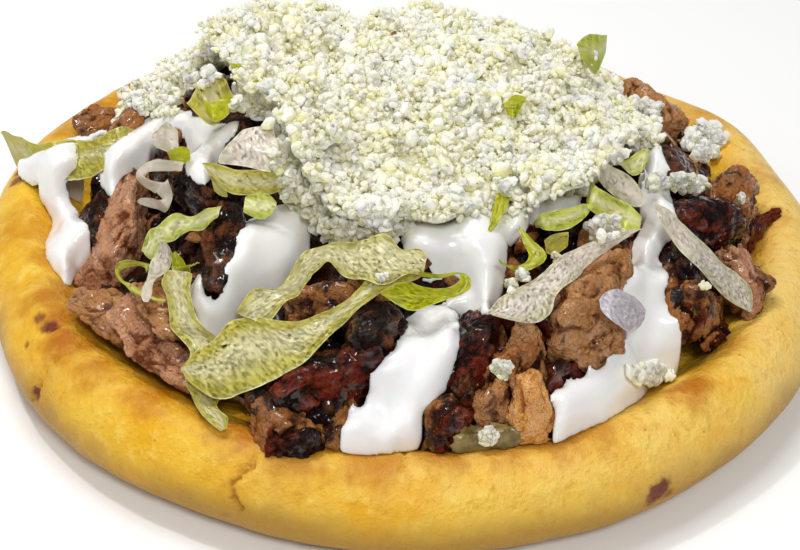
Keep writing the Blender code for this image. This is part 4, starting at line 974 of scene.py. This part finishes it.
def leaf_shape(edges, lift=0.3, arch=0.5, ruffle=0.35, wave=9.0, thick=0.22, seed=0.0):
    """A strip of leaf between two edges, given as pairs of pixels of the photograph.

    A station may carry a fifth number, its own lift over what it lies on."""
    stations = []
    for station in edges:
        raised = station[4] if len(station) > 4 else lift
        middle = on_photo((station[0] + station[2]) / 2, (station[1] + station[3]) / 2, raised)
        depth = (eye - Vector(middle)).dot(back)
        half = math.hypot(station[2] - station[0], station[3] - station[1]) * DISTANCE / FOCAL / 2
        slack = LEAF_STEEP * max(0.0, half - LEAF_LEVEL)
        places = []
        for u, v in (station[:2], station[2:4]):
            own = (eye - Vector(on_photo(u, v, raised))).dot(back)
            own = min(max(own, depth - slack), depth + slack)
            direction = sight(u, v)
            places += (eye + direction * own / -direction.dot(back))[:]
        stations.append(places)
    rows, distance = smooth_rows(np.array(stations), LEAF_ROW)
    ground = reach(laid.top, 0.5)
    stiff = soften(reach(laid.top, 1.0), LEAF_STIFF)
    sheet = np.zeros((len(rows), LEAF_COLUMNS + 1, 3))
    drawn = np.zeros((len(rows), LEAF_COLUMNS + 1))
    for index, row in enumerate(rows):
        width = float(np.linalg.norm(row[3:6] - row[:3]))
        for column in range(LEAF_COLUMNS + 1):
            share = column / LEAF_COLUMNS
            across = 2 * share - 1
            edge = 0.12 * noise.noise(Vector((distance[index] * 0.5, across * 3, seed)))
            edge += 0.06 * noise.noise(Vector((distance[index] * 1.9, across * 3, seed)))
            side = 0.5 + (share - 0.5) * (1 + edge / max(width, 1.0) * 2)
            spot = row[:3] + (row[3:6] - row[:3]) * side
            turn = 2 * math.pi * distance[index] / wave + seed + 1.2 * across
            swell = ruffle * math.sin(turn) * abs(across) ** 1.5
            ripple = noise.noise(Vector((distance[index] * 0.35, across * 1.3, seed + 7)))
            swell += 0.5 * ruffle * ripple
            spot[2] += arch * (1 - across * across) * min(1.0, width / 8) + swell
            sheet[index, column] = spot
            clear = drawn_clear(drawn_clear(spot, stiff, 0.0), ground, LEAF_CLEAR)
            drawn[index, column] = np.linalg.norm(clear - spot)
    rows_long, columns_wide = drawn.shape
    for _ in range(3):
        beside = np.pad(drawn, 1, mode="edge")
        windows = [beside[a:a + rows_long, b:b + columns_wide] for a in range(3) for b in range(3)]
        drawn = np.max(windows, axis=0)
    toward = np.array(eye) - sheet
    toward /= np.linalg.norm(toward, axis=2)[:, :, None]
    sheet += toward * soften(drawn, LEAF_EASE)[:, :, None]
    normals = np.cross(np.gradient(sheet, axis=0), np.gradient(sheet, axis=1))
    normals /= np.linalg.norm(normals, axis=2)[:, :, None] + 1e-9
    if normals[:, :, 2].sum() < 0:
        normals = -normals
    shape = bmesh.new()
    bmesh.ops.create_grid(shape, x_segments=len(rows) - 1, y_segments=LEAF_COLUMNS, size=1.0)
    raised = doubled(shape)
    vein_layer = shape.verts.layers.float_vector.new("vein")
    across_layer = shape.verts.layers.float.new("across")
    for vertex in shape.verts:
        row = int(round((vertex.co.x + 1) / 2 * (len(rows) - 1)))
        column = int(round((vertex.co.y + 1) / 2 * LEAF_COLUMNS))
        across = 2 * column / LEAF_COLUMNS - 1
        spot = Vector(sheet[row, column])
        if vertex in raised:
            spot += Vector(normals[row, column]) * thick * (1 - 0.5 * across**4)
        half = float(np.linalg.norm(rows[row][3:6] - rows[row][:3])) / 2
        vertex[vein_layer] = (distance[row] * MM, across * half * MM, seed)
        vertex[across_layer] = abs(across)
        vertex.co = spot
    bmesh.ops.recalc_face_normals(shape, faces=shape.faces[:])
    return subdivided(shape, 1)


def leaf_look(name, rib, blade, edge, greenness):
    look, tree, shader = new_look(name, Coat_Weight=0.25, Coat_Roughness=0.15, Roughness=0.4,
                                  Specular_IOR_Level=0.35)
    vein = measured(tree, "vein", "Vector")
    across = measured(tree, "across")
    streaks = mottle(tree, vein, 420, 2.0, 0.5, (0.07, 1.0, 1.0))
    clouds = mottle(tree, vein, 11, 1.0, 0.4)
    share = arithmetic(tree, "ADD", arithmetic(tree, "MULTIPLY", across, 0.35), clouds)
    colour = blend(tree, ramp(tree, share, 0.90 - greenness, 1.15 - greenness), rib, blade)
    colour = blend(tree, ramp(tree, streaks, 0.45, 0.75, 0.0, 0.12), colour, edge)
    colour = blend(tree, ramp(tree, across, 0.88, 1.0, 0.0, 0.7), colour, edge)
    tree.links.new(colour, shader.inputs["Base Color"])
    tree.links.new(bump(tree, streaks, 0.0001, 0.05), shader.inputs["Normal"])
    return look


LEAF_LOOKS = {  # rib, blade and edge colours, how much is green
    "pale_leaf": ((0.84, 0.79, 0.44), (0.66, 0.59, 0.085), (0.88, 0.84, 0.42), 0.40),
    "yellow_leaf": ((0.84, 0.84, 0.22), (0.60, 0.61, 0.012), (0.86, 0.86, 0.24), 0.50),
    "green_leaf": ((0.93, 0.92, 0.50), (0.68, 0.74, 0.10), (0.95, 0.94, 0.58), 0.36),
    "rib_leaf": ((0.90, 0.82, 0.70), (0.78, 0.74, 0.46), (0.94, 0.90, 0.80), 0.24),
}
leaf_looks = {
    name: leaf_look(f"lettuce_{name.removesuffix('_leaf')}", *values)
    for name, values in LEAF_LOOKS.items()
}
SLOT_OF["rib_leaf"] = "pale_leaf"


def add_leaf(name, look_name, edges, node=None, **settings):
    shape = leaf_shape(edges, seed=len(name) * 1.7 + edges[0][0] * 0.31, **settings)
    laid.lay(shape)
    slot = slots[node] if node else SLOT_OF.get(look_name, look_name)
    add_piece(name, shape, leaf_looks[look_name], slot, *([node] if node else []))


add_leaf("shred_over_left_rim", "pale_leaf", (
    (0, 131, 17, 169), (14, 134, 30, 176), (32, 142, 47, 181), (52, 142, 66, 182), (74, 141, 84, 178),
    (96, 136, 104, 172), (117, 129, 122, 162), (134, 127, 138, 152),
), "leaf_over_left_rim", lift=0.2, arch=0.5, ruffle=0.3)
add_leaf("shred_right_green", "green_leaf", (
    (533, 222, 536, 229), (543, 214, 548, 230), (556, 211, 562, 229), (571, 206, 577, 225),
    (584, 202, 587, 217), (590, 204, 591, 211),
), "leaf_right_blades", ruffle=0.25)
add_leaf("shred_right_veined", "pale_leaf", (
    (544, 240, 546, 252), (551, 234, 555, 255), (561, 232, 563, 251), (569, 231, 568, 247),
), lift=0.1, ruffle=0.15)
add_leaf("shred_right_bright", "green_leaf", (
    (607, 154, 608, 158), (618, 157, 617, 164), (628, 160, 632, 177), (636, 154, 639, 174),
    (645, 151, 646, 165), (651, 152, 650, 156),
), "leaf_right_bright", lift=0.6, arch=0.8, ruffle=0.3)

# The crema. Thick sour cream thinned with milk and let run from a spoon, so that it lies in
# rounded strands, sinks between the pieces and ends in drops.
POURED_LOWEST = 11.0  # it ends this high on the outer side of the rim


def pour(name, runs, *nodes):
    shape = cover(runs, rounds=36, ragged=0.05, fall=1.2, lowest=POURED_LOWEST)
    smooth(shape, 9)
    laid.lay(shape)
    add_piece(name, shape, crema_look, "crema", *nodes)


crema_look, tree, shader = new_look("crema", Roughness=0.22, Coat_Weight=0.4, Coat_Roughness=0.06,
                                    Subsurface_Weight=0.3, Subsurface_Scale=0.001)
spot = own_place(tree)
share = ramp(tree, mottle(tree, spot, 160, 2.0), 0.35, 0.7)
colour = blend(tree, share, (0.91, 0.90, 0.88), (0.88, 0.875, 0.88))
tree.links.new(colour, shader.inputs["Base Color"])
tree.links.new(bump(tree, mottle(tree, spot, 260, 2.0), 0.0005, 0.25), shader.inputs["Normal"])

pour("poured_left", (
    (1.5, 1.6, ((109, 127, 110, 134), (99, 128, 101, 136), (92, 132, 94, 141), (75, 136, 78, 147),
                (54, 143, 62, 152), (40, 149, 46, 164), (30, 154, 35, 170), (18, 157, 20, 170))),
    (3.0, 3.4, ((35, 158, 62, 147), (37, 170, 78, 153), (41, 184, 78, 166), (46, 194, 72, 181),
                (51, 205, 62, 190), (54, 216, 68, 203), (51, 229, 79, 215), (45, 241, 91, 230),
                (45, 252, 87, 244), (50, 264, 79, 258), (58, 274, 73, 273), (66, 281, 71, 281))),
), "crema_left_strand")
pour("poured_left_middle", (
    (1.9, 2.4, ((190, 110, 186, 124), (175, 110, 172, 127), (160, 113, 155, 133), (147, 119, 149, 146),
                (133, 128, 144, 160), (118, 140, 130, 168), (104, 152, 121, 174), (100, 163, 119, 178),
                (102, 176, 115, 186), (107, 188, 112, 196))),
    (1.7, 2.6, ((172, 111, 199, 115), (178, 120, 220, 124), (183, 130, 241, 119), (187, 140, 238, 131),
                (188, 150, 226, 146), (185, 158, 218, 160), (184, 168, 213, 170), (188, 177, 212, 180),
                (197, 185, 208, 187))),
), "crema_left_band")
pour("poured_centre_left", (
    (2.6, 4.4, ((276, 203, 330, 208), (262, 213, 322, 214), (247, 220, 313, 223), (238, 231, 310, 236),
                (236, 246, 308, 248), (227, 262, 300, 265), (219, 273, 292, 279), (217, 287, 282, 292),
                (214, 298, 262, 302), (208, 308, 248, 312), (206, 318, 240, 321))),
    (1.6, 1.9, ((238, 323, 236, 306), (224, 331, 217, 304), (206, 327, 209, 301), (196, 314, 204, 294),
                (191, 298, 203, 286), (190, 286, 201, 277), (195, 277, 200, 273))),
), "crema_centre_left")
pour("poured_front", (
    (3.2, 4.2, ((421, 306, 448, 302), (411, 313, 457, 310), (404, 325, 459, 328), (403, 336, 459, 342),
                (392, 352, 458, 352), (371, 372, 452, 369), (373, 388, 438, 393), (366, 401, 430, 403),
                (348, 414, 423, 413), (340, 430, 419, 430), (342, 445, 413, 442), (354, 451, 398, 452),
                (366, 454, 386, 454))),
), "crema_front_drop")
pour("poured_middle", (
    (2.3, 4.4, ((400, 232, 403, 247), (408, 222, 414, 258), (420, 217, 424, 266), (435, 220, 438, 273),
                (450, 220, 452, 272), (463, 205, 466, 278), (474, 202, 474, 306), (486, 206, 484, 313),
                (497, 212, 494, 312), (505, 220, 503, 290), (512, 228, 508, 262))),
    (1.6, 2.2, ((503, 206, 506, 236), (516, 200, 520, 234), (528, 195, 530, 224), (542, 190, 540, 215),
                (556, 188, 556, 212), (570, 190, 570, 207), (582, 187, 580, 203))),
    (1.2, 1.6, ((444, 300, 447, 306), (455, 296, 458, 304), (468, 292, 474, 302),
                (478, 288, 484, 300))),
), "crema_centre")
pour("poured_right", (
    (2.5, 3.8, ((651, 140, 662, 146), (646, 150, 664, 154), (643, 160, 667, 163), (640, 172, 675, 171),
                (641, 183, 670, 179), (646, 196, 669, 190), (650, 208, 673, 205), (645, 222, 680, 222),
                (641, 232, 670, 236), (633, 245, 664, 244), (634, 262, 659, 262), (629, 274, 668, 271),
                (621, 290, 668, 290), (626, 310, 668, 308), (627, 331, 680, 320), (624, 345, 681, 338),
                (619, 357, 679, 350), (596, 368, 668, 362), (577, 379, 657, 373), (556, 390, 641, 393),
                (552, 398, 617, 412), (556, 416, 594, 424), (551, 426, 564, 431))),
), "crema_right")

# The upper lettuce. These shreds were scattered after the crema, so they lie over it, over the
# meat and over each other.
add_leaf("shred_cup", "pale_leaf", (
    (206, 68, 218, 71), (200, 81, 227, 82), (194, 91, 230, 91), (189, 100, 236, 99),
    (190, 108, 238, 105), (200, 118, 226, 114), (214, 125, 219, 124),
), "leaf_left_cup", lift=0.4, arch=-1.2, ruffle=0.2)
add_leaf("shred_cup_low", "yellow_leaf", (
    (203, 100, 206, 112), (213, 102, 214, 122), (222, 98, 225, 118), (229, 94, 233, 106),
), lift=0.6, arch=0.3, ruffle=0.1)
add_leaf("shred_flat_pale", "rib_leaf", (
    (242, 129, 273, 126), (235, 136, 275, 134), (228, 144, 277, 145), (222, 152, 278, 156),
    (218, 160, 275, 168), (218, 164, 270, 173),
), "leaf_centre_left_pale", lift=0.2, arch=0.3, ruffle=0.1)
add_leaf("shred_under_flat", "pale_leaf", (
    (210, 176, 214, 190), (216, 174, 222, 197), (224, 178, 228, 198),
), lift=0.1, arch=0.2, ruffle=0.15)
add_leaf("shred_left_clear", "rib_leaf", (
    (151, 135, 155, 147), (160, 126, 164, 151), (170, 123, 173, 154), (178, 131, 179, 150),
), lift=0.1, arch=0.3, ruffle=0.1)
add_leaf("shred_left_bright", "yellow_leaf", (
    (167, 152, 170, 160), (175, 147, 178, 166), (184, 147, 186, 164), (190, 150, 191, 160),
), lift=0.15, arch=0.3, ruffle=0.2)
add_leaf("shred_left_sheet", "pale_leaf", (
    (201, 163, 203, 166), (210, 164, 214, 177), (222, 165, 227, 191), (238, 168, 240, 197),
    (254, 170, 254, 198), (270, 173, 269, 194), (282, 178, 283, 188), (290, 181, 290, 184),
), "leaf_centre_left_sheet", lift=0.5, arch=0.5, ruffle=0.25)
add_leaf("shred_left_green", "green_leaf", (
    (245, 198, 243, 211), (254, 195, 253, 216), (264, 193, 264, 219), (273, 197, 272, 214),
    (277, 202, 276, 208),
), lift=0.3, arch=0.3, ruffle=0.2)
add_leaf("shred_s_ribbon", "rib_leaf", (
    (184, 162, 182, 171), (165, 160, 165, 171), (148, 162, 148, 172.5), (139, 167, 146, 174),
    (135, 175, 144, 177), (141, 184, 150, 180), (150, 190, 160, 182), (159, 195, 170, 186, 0.5),
    (163, 199, 173, 196, 0.7), (160, 200, 170, 206, 0.7), (150, 198, 156, 209, 0.5),
    (141, 198, 145, 206), (137, 201, 139, 204),
), "leaf_s_ribbon", lift=0.3, arch=0.35, ruffle=0.0)
add_leaf("shred_front_arm", "pale_leaf", (
    (166, 271, 193, 274), (161, 284, 190, 286), (166, 295, 192, 300), (169, 311, 196, 315),
    (171, 328, 205, 330), (181, 340, 216, 337), (190, 352, 218, 348), (185, 370, 228, 375),
    (186, 383, 234, 390), (191, 394, 222, 400), (199.5, 413, 219, 410), (210, 424, 228.5, 416),
    (221, 431, 226, 429),
), "leaf_front_arm", lift=0.2, arch=0.6, ruffle=0.25)
add_leaf("shred_left_light_green", "green_leaf", (
    (222, 204, 218, 219), (212, 208, 211, 224), (200, 213, 200, 229), (187, 215, 188, 234),
    (175, 214.5, 178, 237), (165, 218.5, 171.5, 241), (156, 226, 163, 247), (149, 232, 158, 254),
    (144, 243, 152, 259), (141, 250, 146, 256),
), "leaf_left_light_green", lift=0.3, arch=0.5, ruffle=0.35, wave=4.5)
add_leaf("shred_left_curl", "yellow_leaf", (
    (147, 273, 148, 268), (140, 266, 142, 262), (134, 266, 131, 260), (125, 268, 122, 260),
    (120, 272, 115, 268), (123, 280, 118, 279), (130, 283, 126, 286), (136, 287, 133, 293),
    (143, 292, 141, 296), (154, 297, 153, 300), (166, 299, 165, 302),
), "leaf_left_curl", lift=0.4, arch=0.3, ruffle=0.0)
add_leaf("shred_left_stick", "rib_leaf", (
    (160, 241, 165, 241), (157, 252, 171, 250), (150, 263, 172, 260), (148, 275, 166, 273),
    (145, 282, 154, 281), (141, 289, 152, 289), (141.5, 299, 151, 299), (144, 302.5, 148, 302.5),
), "leaf_left_stick", lift=0.7, arch=0.5, ruffle=0.1)
add_leaf("shred_left_bits", "yellow_leaf", (
    (172, 254, 176, 250), (172, 264, 184, 262), (178, 268, 190, 266), (188, 267, 200, 262),
), lift=0.1, arch=0.3, ruffle=0.3, wave=3.0)
add_leaf("shred_front_big", "pale_leaf", (
    (180.5, 366, 181, 373), (188, 358, 190, 385), (198, 350, 206, 395), (210, 345, 222, 398),
    (218, 334, 240, 393), (229, 319, 262, 387), (249, 317.5, 279, 379), (270, 321, 291, 368),
    (291, 320, 307, 360), (311, 315.5, 330, 338), (330, 310.5, 346, 321), (348, 299, 358, 307),
    (360, 285, 379, 295), (372, 272, 396, 286), (392, 270, 412, 281), (417, 271, 421, 275),
), "leaf_front_big", lift=0.5, arch=0.9, ruffle=0.3, wave=9.0)
add_leaf("shred_front_lens", "yellow_leaf", (
    (379, 292, 383, 296), (392, 286, 401, 307), (406, 282, 414, 311), (420, 286, 433, 304),
    (436, 288, 446, 300), (450, 287, 457, 297), (459, 282, 468, 292), (461, 277, 473, 284),
    (459, 274, 470, 277), (452, 276, 456, 271), (441, 278, 441, 274), (430, 277, 430, 273.5),
    (419, 276, 420, 273),
), "leaf_front_lens", lift=0.4, arch=-0.4, ruffle=0.1)
add_leaf("shred_front_ruffle", "pale_leaf", (
    (236, 316, 262, 323), (240, 303, 276, 316), (249, 293, 288, 302), (277, 286, 303, 290),
    (291, 272, 310, 283), (301, 258, 313, 271), (308, 248, 321, 266), (330, 243, 331, 265),
    (348, 245, 341, 271), (362, 238, 357, 281), (376, 236.5, 375, 284), (392, 238, 394, 280),
    (403, 248, 408, 277), (420, 251, 418, 274), (427.5, 259, 424, 270),
), "leaf_front_ruffle", lift=0.6, arch=0.5, ruffle=0.45, wave=5.0)
add_leaf("shred_pale_strip", "rib_leaf", (
    (641, 228, 642, 230), (633, 228, 634, 234), (620, 235, 624, 240), (601, 240, 610, 248),
    (588, 242, 598, 257), (569, 251, 587, 267), (551, 265, 575, 279), (535, 278, 561, 290),
    (518, 287, 555, 300), (504, 295, 551, 313), (494, 305, 537, 322), (488, 312, 508, 319),
    (487.5, 313.5, 494, 316),
), "leaf_pale_strip", lift=0.5, arch=0.6, ruffle=0.15)
add_leaf("shred_right_sheet", "green_leaf", (
    (591, 180, 586, 201), (601, 189, 590, 211), (613, 197, 604, 219), (630, 205, 622, 229),
    (642, 216, 640, 230),
), "leaf_right_green", lift=0.4, arch=0.3, ruffle=0.15)
add_leaf("shred_right_wet", "rib_leaf", (
    (602, 161, 597, 177), (616, 167, 604, 189), (630, 177, 617, 199), (641, 190, 631, 205),
    (646, 203, 640, 208),
), lift=0.6, arch=0.5, ruffle=0.2)
add_leaf("shred_bright_hook", "yellow_leaf", (
    (519, 225.5, 520.5, 228), (526, 232, 521, 236), (533.5, 240, 524, 246), (544, 250, 528, 253),
    (543, 264, 526, 261), (531, 269.5, 520, 264.5), (516, 272, 511, 265), (505, 266.5, 503, 262),
    (498, 258.5, 499, 259.5),
), "leaf_bright_hook", lift=0.6, arch=0.2, ruffle=0.1)
add_leaf("shred_yellow_upper", "yellow_leaf", (
    (501, 187, 511, 185), (496, 197, 511, 195), (493, 206, 507, 207), (491, 217, 503, 216),
    (489, 226, 495, 228), (487.5, 231, 490.5, 232),
), lift=0.3, arch=0.3, ruffle=0.2)
add_leaf("shred_right_strip", "rib_leaf", (
    (652, 201, 656, 214), (667, 207, 661, 223), (684, 226, 673, 242), (704, 243, 685, 255),
    (724, 263, 698, 269), (741, 278, 715, 287), (752, 291.5, 731, 302), (752.5, 311.5, 748, 312),
), "leaf_right_strip", lift=0.6, arch=0.5, ruffle=0.15)

# The onion. A chip of one layer of it, cut small and raw, lies on the crema at the right. It is
# clear, curved, and thicker than the lettuce.
onion_look = leaf_look("onion", (0.86, 0.82, 0.88), (0.80, 0.74, 0.84), (0.92, 0.90, 0.93), 0.2)
onion = leaf_shape((
    (599, 300, 600, 308), (603, 294, 604, 314), (609, 290.5, 611, 320), (617, 289, 619, 326),
    (626, 292, 626, 331), (635, 297, 633, 331), (642, 304, 640, 327), (646, 311, 645, 318),
), lift=0.6, arch=1.3, ruffle=0.0, thick=0.6)
laid.lay(onion)
add_piece("onion_chip", onion, onion_look, "pale_leaf")

# The fresh cheese. Crumbled by hand over everything while the rest was warm: soft lumps and
# crumbs of up to three millimetres, white where they stand out, with a yellow painted shade in the
# gaps between them and under them.
CORE_VOXEL, LOBE_VOXEL = 0.7, 0.5
CORE_DEEPER, CORE_UNDER = 1.3, 0.5  # the core lies under the crumbs, and its underside hangs lower
cheese = remeshed(node_shape("cheese_heap"), CORE_VOXEL)
smooth(cheese, 5)
cheese.normal_update()
core_relief = cheese.verts.layers.float.new("relief")
for vertex in cheese.verts:
    place = vertex.co
    change = 0.55 * noise.noise(place * 0.55) + 0.32 * noise.noise(place * 1.3)
    change += 0.18 * noise.noise(place * 2.9)
    exposed = float(smooth_step(vertex.normal.z, -0.35, 0.15))
    # The core's relief sets its painted shade, and it shows yellow in the gaps between the crumbs.
    vertex[core_relief] = change
    vertex.co = place + vertex.normal * (CORE_UNDER + (change - CORE_DEEPER - CORE_UNDER) * exposed)
bmesh.ops.triangulate(cheese, faces=cheese.faces[:])


def cheese_look(name, low, high):
    look, tree, shader = new_look(name, Roughness=0.6, Specular_IOR_Level=0.3,
                                  Subsurface_Weight=0.6, Subsurface_Scale=0.002)
    shader.inputs["Subsurface Radius"].default_value = (1.0, 0.95, 0.6)
    spot = own_place(tree)
    # Painted shade: where the relief is low, in the gaps between crumbs and on their undersides, the
    # colour goes yellow; where it is high, it is white.
    exposed = ramp(tree, measured(tree, "relief"), low, high)
    colour = blend(tree, exposed, (0.93, 0.88, 0.46), (0.96, 0.935, 0.76))
    yellow = ramp(tree, mottle(tree, spot, 130, 3.0), 0.56, 0.72, 0.0, 0.35)
    colour = blend(tree, yellow, colour, (0.93, 0.90, 0.50))
    white = ramp(tree, mottle(tree, spot, 170, 3.0), 0.50, 0.62, 0.0, 0.55)
    colour = blend(tree, white, colour, (0.965, 0.95, 0.87))
    tree.links.new(colour, shader.inputs["Base Color"])
    grain = mottle(tree, spot, 1500, 5.0, 0.65)
    tree.links.new(bump(tree, grain, 0.0003, 0.5), shader.inputs["Normal"])
    return look


def add_crumbs(name, batches, *nodes):
    """Crumbs break with small flat sides, so they aren't shaded smooth."""
    add_piece(name, gathered(batches), crumb_look, "cheese", *nodes).data.shade_flat()


CRUMBS = (  # name, count, smallest and largest size, roundness level, how far out they lie, seed
    ("cheese_lumps", 420, 1.7, 2.6, 2, 0.10, 31),
    ("cheese_crumbs", 2100, 1.2, 2.0, 2, 0.35, 32),
    ("cheese_crumbs_over", 2150, 1.0, 1.7, 2, 0.75, 33),
    ("cheese_crumbs_small", 2150, 0.8, 1.3, 2, 0.95, 36),
    ("cheese_crumbs_fine", 7600, 0.45, 0.9, 1, 1.0, 34),
)
crumb_look = cheese_look("cheese_crumb", 0.05, 0.75)
cheese.normal_update()
outer = by_area([face for face in cheese.faces if face.normal.z > -0.15])


def add_crumb(batch, relief_layer, draw, place, normal, size, level, stand):
    """One crumb. Its middle stands so far off its place, along the normal there."""
    turn = Euler([draw.uniform(0, math.tau) for _ in range(3)]).to_quaternion()
    stretch = Vector([draw.uniform(0.7, 1.3) for _ in range(3)]) * size * 0.55
    placing = Matrix.LocRotScale(place + normal * stand, turn, stretch)
    for vertex in lump(batch, draw, placing, level, 10, size * 0.16, 5.0 / size):
        # Its height over its place sets its painted shade, so its underside turns yellow.
        vertex[relief_layer] = 0.46 * (vertex.co - place).dot(normal)


for name, count, smallest, largest, level, out, seed in CRUMBS:
    draw = random.Random(seed)
    batches = []
    for batch, relief_layer, lumps in batches_of(count):
        for _ in range(lumps):
            place, normal = spread_over(outer, draw)
            size = smallest + (largest - smallest) * draw.random() ** 1.6
            stand = (0.12 + 0.30 * draw.random()) * size + out * draw.random()
            add_crumb(batch, relief_layer, draw, place, normal, size, level, stand)
        batches.append(batch)
    add_crumbs(name, batches)
# The core shows between the crumbs, where its yellow is painted shade.
add_piece("cheese_core", cheese, cheese_look("cheese_core_shaded", -1.2, 0.2), "cheese", "cheese_heap")

# Loose cheese slopes off the lower edge of the heap and lies in a lobe at its back left. Crumbs
# fell beside it on the crema, the leaves and the meat.
slope = cover(((2.4, 4.0, (
    (292, 108, 268, 128), (300, 130, 278, 150), (305, 150, 284, 170), (312, 168, 289, 190),
    (322, 184, 301, 207), (334, 194, 322, 222), (350, 200, 338, 236), (370, 204, 368, 240),
    (392, 206, 392, 234), (410, 206, 408, 222),
)),), rounds=40, ragged=0.4)
smooth(slope, 6)
MOUND_CRUMB = (0.8, 1.9)
LOBE = (  # middle and half sizes of the lumps that make the lobe at the back left
    (-24, 15, 23, 8, 9, 7), (-29.5, 15, 19.5, 7, 8, 6.5), (-34.5, 15, 17, 6, 7, 5.5),
    (-38.5, 14, 15, 4.5, 5.5, 4), (-22.5, 8, 21.5, 5, 5.5, 5.5), (-20, 3.5, 19.5, 4.5, 5, 5),
    (-18, 0, 16.5, 4, 4.5, 4.5), (-21, 17, 28, 7, 8, 5),
)
lobe = bmesh.new()
for x, y, z, *half in LOBE:
    placing = Matrix.LocRotScale(Vector((x, y, z)), None, Vector(half))
    bmesh.ops.create_icosphere(lobe, subdivisions=3, radius=1.0, matrix=placing)
lobe = remeshed(lobe, LOBE_VOXEL)
smooth(lobe, 4)
for name, mound, count, seed in (("cheese_slope", slope, 840, 37), ("cheese_lobe", lobe, 960, 38)):
    mound_relief = mound.verts.layers.float.new("relief")
    mound.normal_update()
    for vertex in mound.verts:
        vertex[mound_relief] = 0.4 * noise.noise(vertex.co * 1.2)
        change = 0.5 * noise.noise(vertex.co * 0.6) + 0.25 * noise.noise(vertex.co * 1.4)
        vertex.co += vertex.normal * change
    laid.lay(mound)
    bmesh.ops.triangulate(mound, faces=mound.faces[:])
    mound.normal_update()
    mound_top = by_area([face for face in mound.faces if face.normal.z > -0.1])
    draw = random.Random(seed)
    batches = []
    for batch, relief_layer, lumps in batches_of(count):
        for _ in range(lumps):
            place, normal = spread_over(mound_top, draw)
            size = draw.uniform(*MOUND_CRUMB)
            add_crumb(batch, relief_layer, draw, place, normal, size, 2, draw.uniform(0.0, 0.9))
        laid.lay(batch)
        batches.append(batch)
    add_crumbs(f"{name}_crumbs", batches)
    add_piece(name, mound, cheese_look(name, -1.2, 0.2), "cheese")

SPRINKLES = (  # pixel, half width and half height in pixels, count, sizes in millimetres
    (150, 99, 30, 14, 110, 0.8, 1.7), (196, 70, 24, 20, 110, 0.8, 1.8),
    (158, 112, 20, 6, 50, 0.7, 1.3), (252, 104, 20, 14, 90, 1.0, 1.9),
    (276, 118, 14, 16, 60, 1.0, 1.9), (300, 150, 20, 26, 100, 0.9, 1.9),
    (281, 165, 10, 20, 40, 0.8, 1.6), (306, 190, 24, 16, 80, 0.9, 1.9),
    (330, 212, 26, 18, 80, 0.9, 1.8), (345, 232, 24, 10, 70, 0.8, 1.6),
    (385, 222, 24, 14, 80, 0.9, 1.7), (430, 212, 24, 10, 80, 1.0, 1.8),
    (462, 205, 22, 12, 70, 1.2, 2.0), (530, 190, 30, 14, 110, 1.2, 2.2),
    (575, 175, 24, 22, 130, 1.2, 2.2), (608, 150, 20, 18, 90, 1.2, 2.2),
    (642, 122, 18, 16, 90, 1.2, 2.2), (604, 233, 17, 11, 60, 0.9, 1.7),
    (501, 372, 9, 8, 34, 0.7, 1.3), (487, 439, 9, 7, 26, 0.7, 1.3), (524, 279, 6, 5, 10, 0.8, 1.4),
    (511, 288, 6, 5, 10, 0.8, 1.4), (554, 260, 5, 4, 5, 0.8, 1.3), (382, 280, 8, 4, 6, 0.7, 1.2),
    (650, 378, 22, 9, 70, 0.9, 1.9), (688, 188, 20, 8, 70, 0.9, 1.8),
    (704, 146, 20, 17, 120, 1.0, 2.2), (658, 186, 10, 8, 14, 1.2, 2.0),
    (741, 200, 5, 3, 4, 1.0, 1.4), (703, 286, 4, 3, 3, 0.9, 1.3),
)
SMALL_CRUMB = 1.1  # up to this size a fallen crumb has only a few faces
FOOD_RADIUS = 52.0  # crumbs past this radius would lie off the food
draw = random.Random(35)
batches = []
for u, v, half_width, half_height, count, smallest, largest in SPRINKLES:
    surface = soften(reach(laid.top, 0.5), 2)
    batch = bmesh.new()
    relief_layer = batch.verts.layers.float.new("relief")
    for _ in range(count):
        angle, away = draw.uniform(0, math.tau), math.sqrt(draw.random())
        size = draw.uniform(smallest, largest)
        column = u + half_width * away * math.cos(angle)
        line = v + half_height * away * math.sin(angle)
        spot = on_photo(column, line, 0, surface)
        if math.hypot(spot[0], spot[1]) > FOOD_RADIUS:
            continue
        stand = (0.25 + 0.5 * draw.random() * min(1.0, count / 30)) * size
        rounded = 2 if size > SMALL_CRUMB else 1
        add_crumb(batch, relief_layer, draw, Vector(spot), Vector((0, 0, 1)), size, rounded, stand)
    laid.lay(batch)
    batches.append(batch)
add_crumbs("cheese_sprinkled", batches, "cheese_clump_right")

# The last lettuce. A green shred stands at the back of the heap and three small yellow ones stick
# out of it, so they are laid when the cheese is there.
add_leaf("shred_back", "green_leaf", (
    (576, 44, 580, 58), (585, 37, 589, 68), (596, 34, 596, 75), (604, 34, 601, 66), (607, 36, 606, 52),
), "leaf_back_right", lift=0.6, arch=0.8, ruffle=0.2)
add_leaf("shred_in_cheese_left", "yellow_leaf", (
    (230, 62, 231, 68), (237, 62, 236, 76), (244, 66, 243, 78), (248, 72, 248, 76),
), lift=1.2, arch=0.5, ruffle=0.2)
add_leaf("shred_in_cheese_low", "yellow_leaf", (
    (252, 82, 254, 92), (258, 78, 261, 90), (266, 73, 267, 79),
), lift=1.0, arch=0.4, ruffle=0.2)
add_leaf("shred_in_cheese_right", "yellow_leaf", (
    (503, 104, 506, 110), (510, 98, 513, 118), (519, 94, 521, 108), (526, 96, 526, 101),
), lift=1.2, arch=0.5, ruffle=0.2)
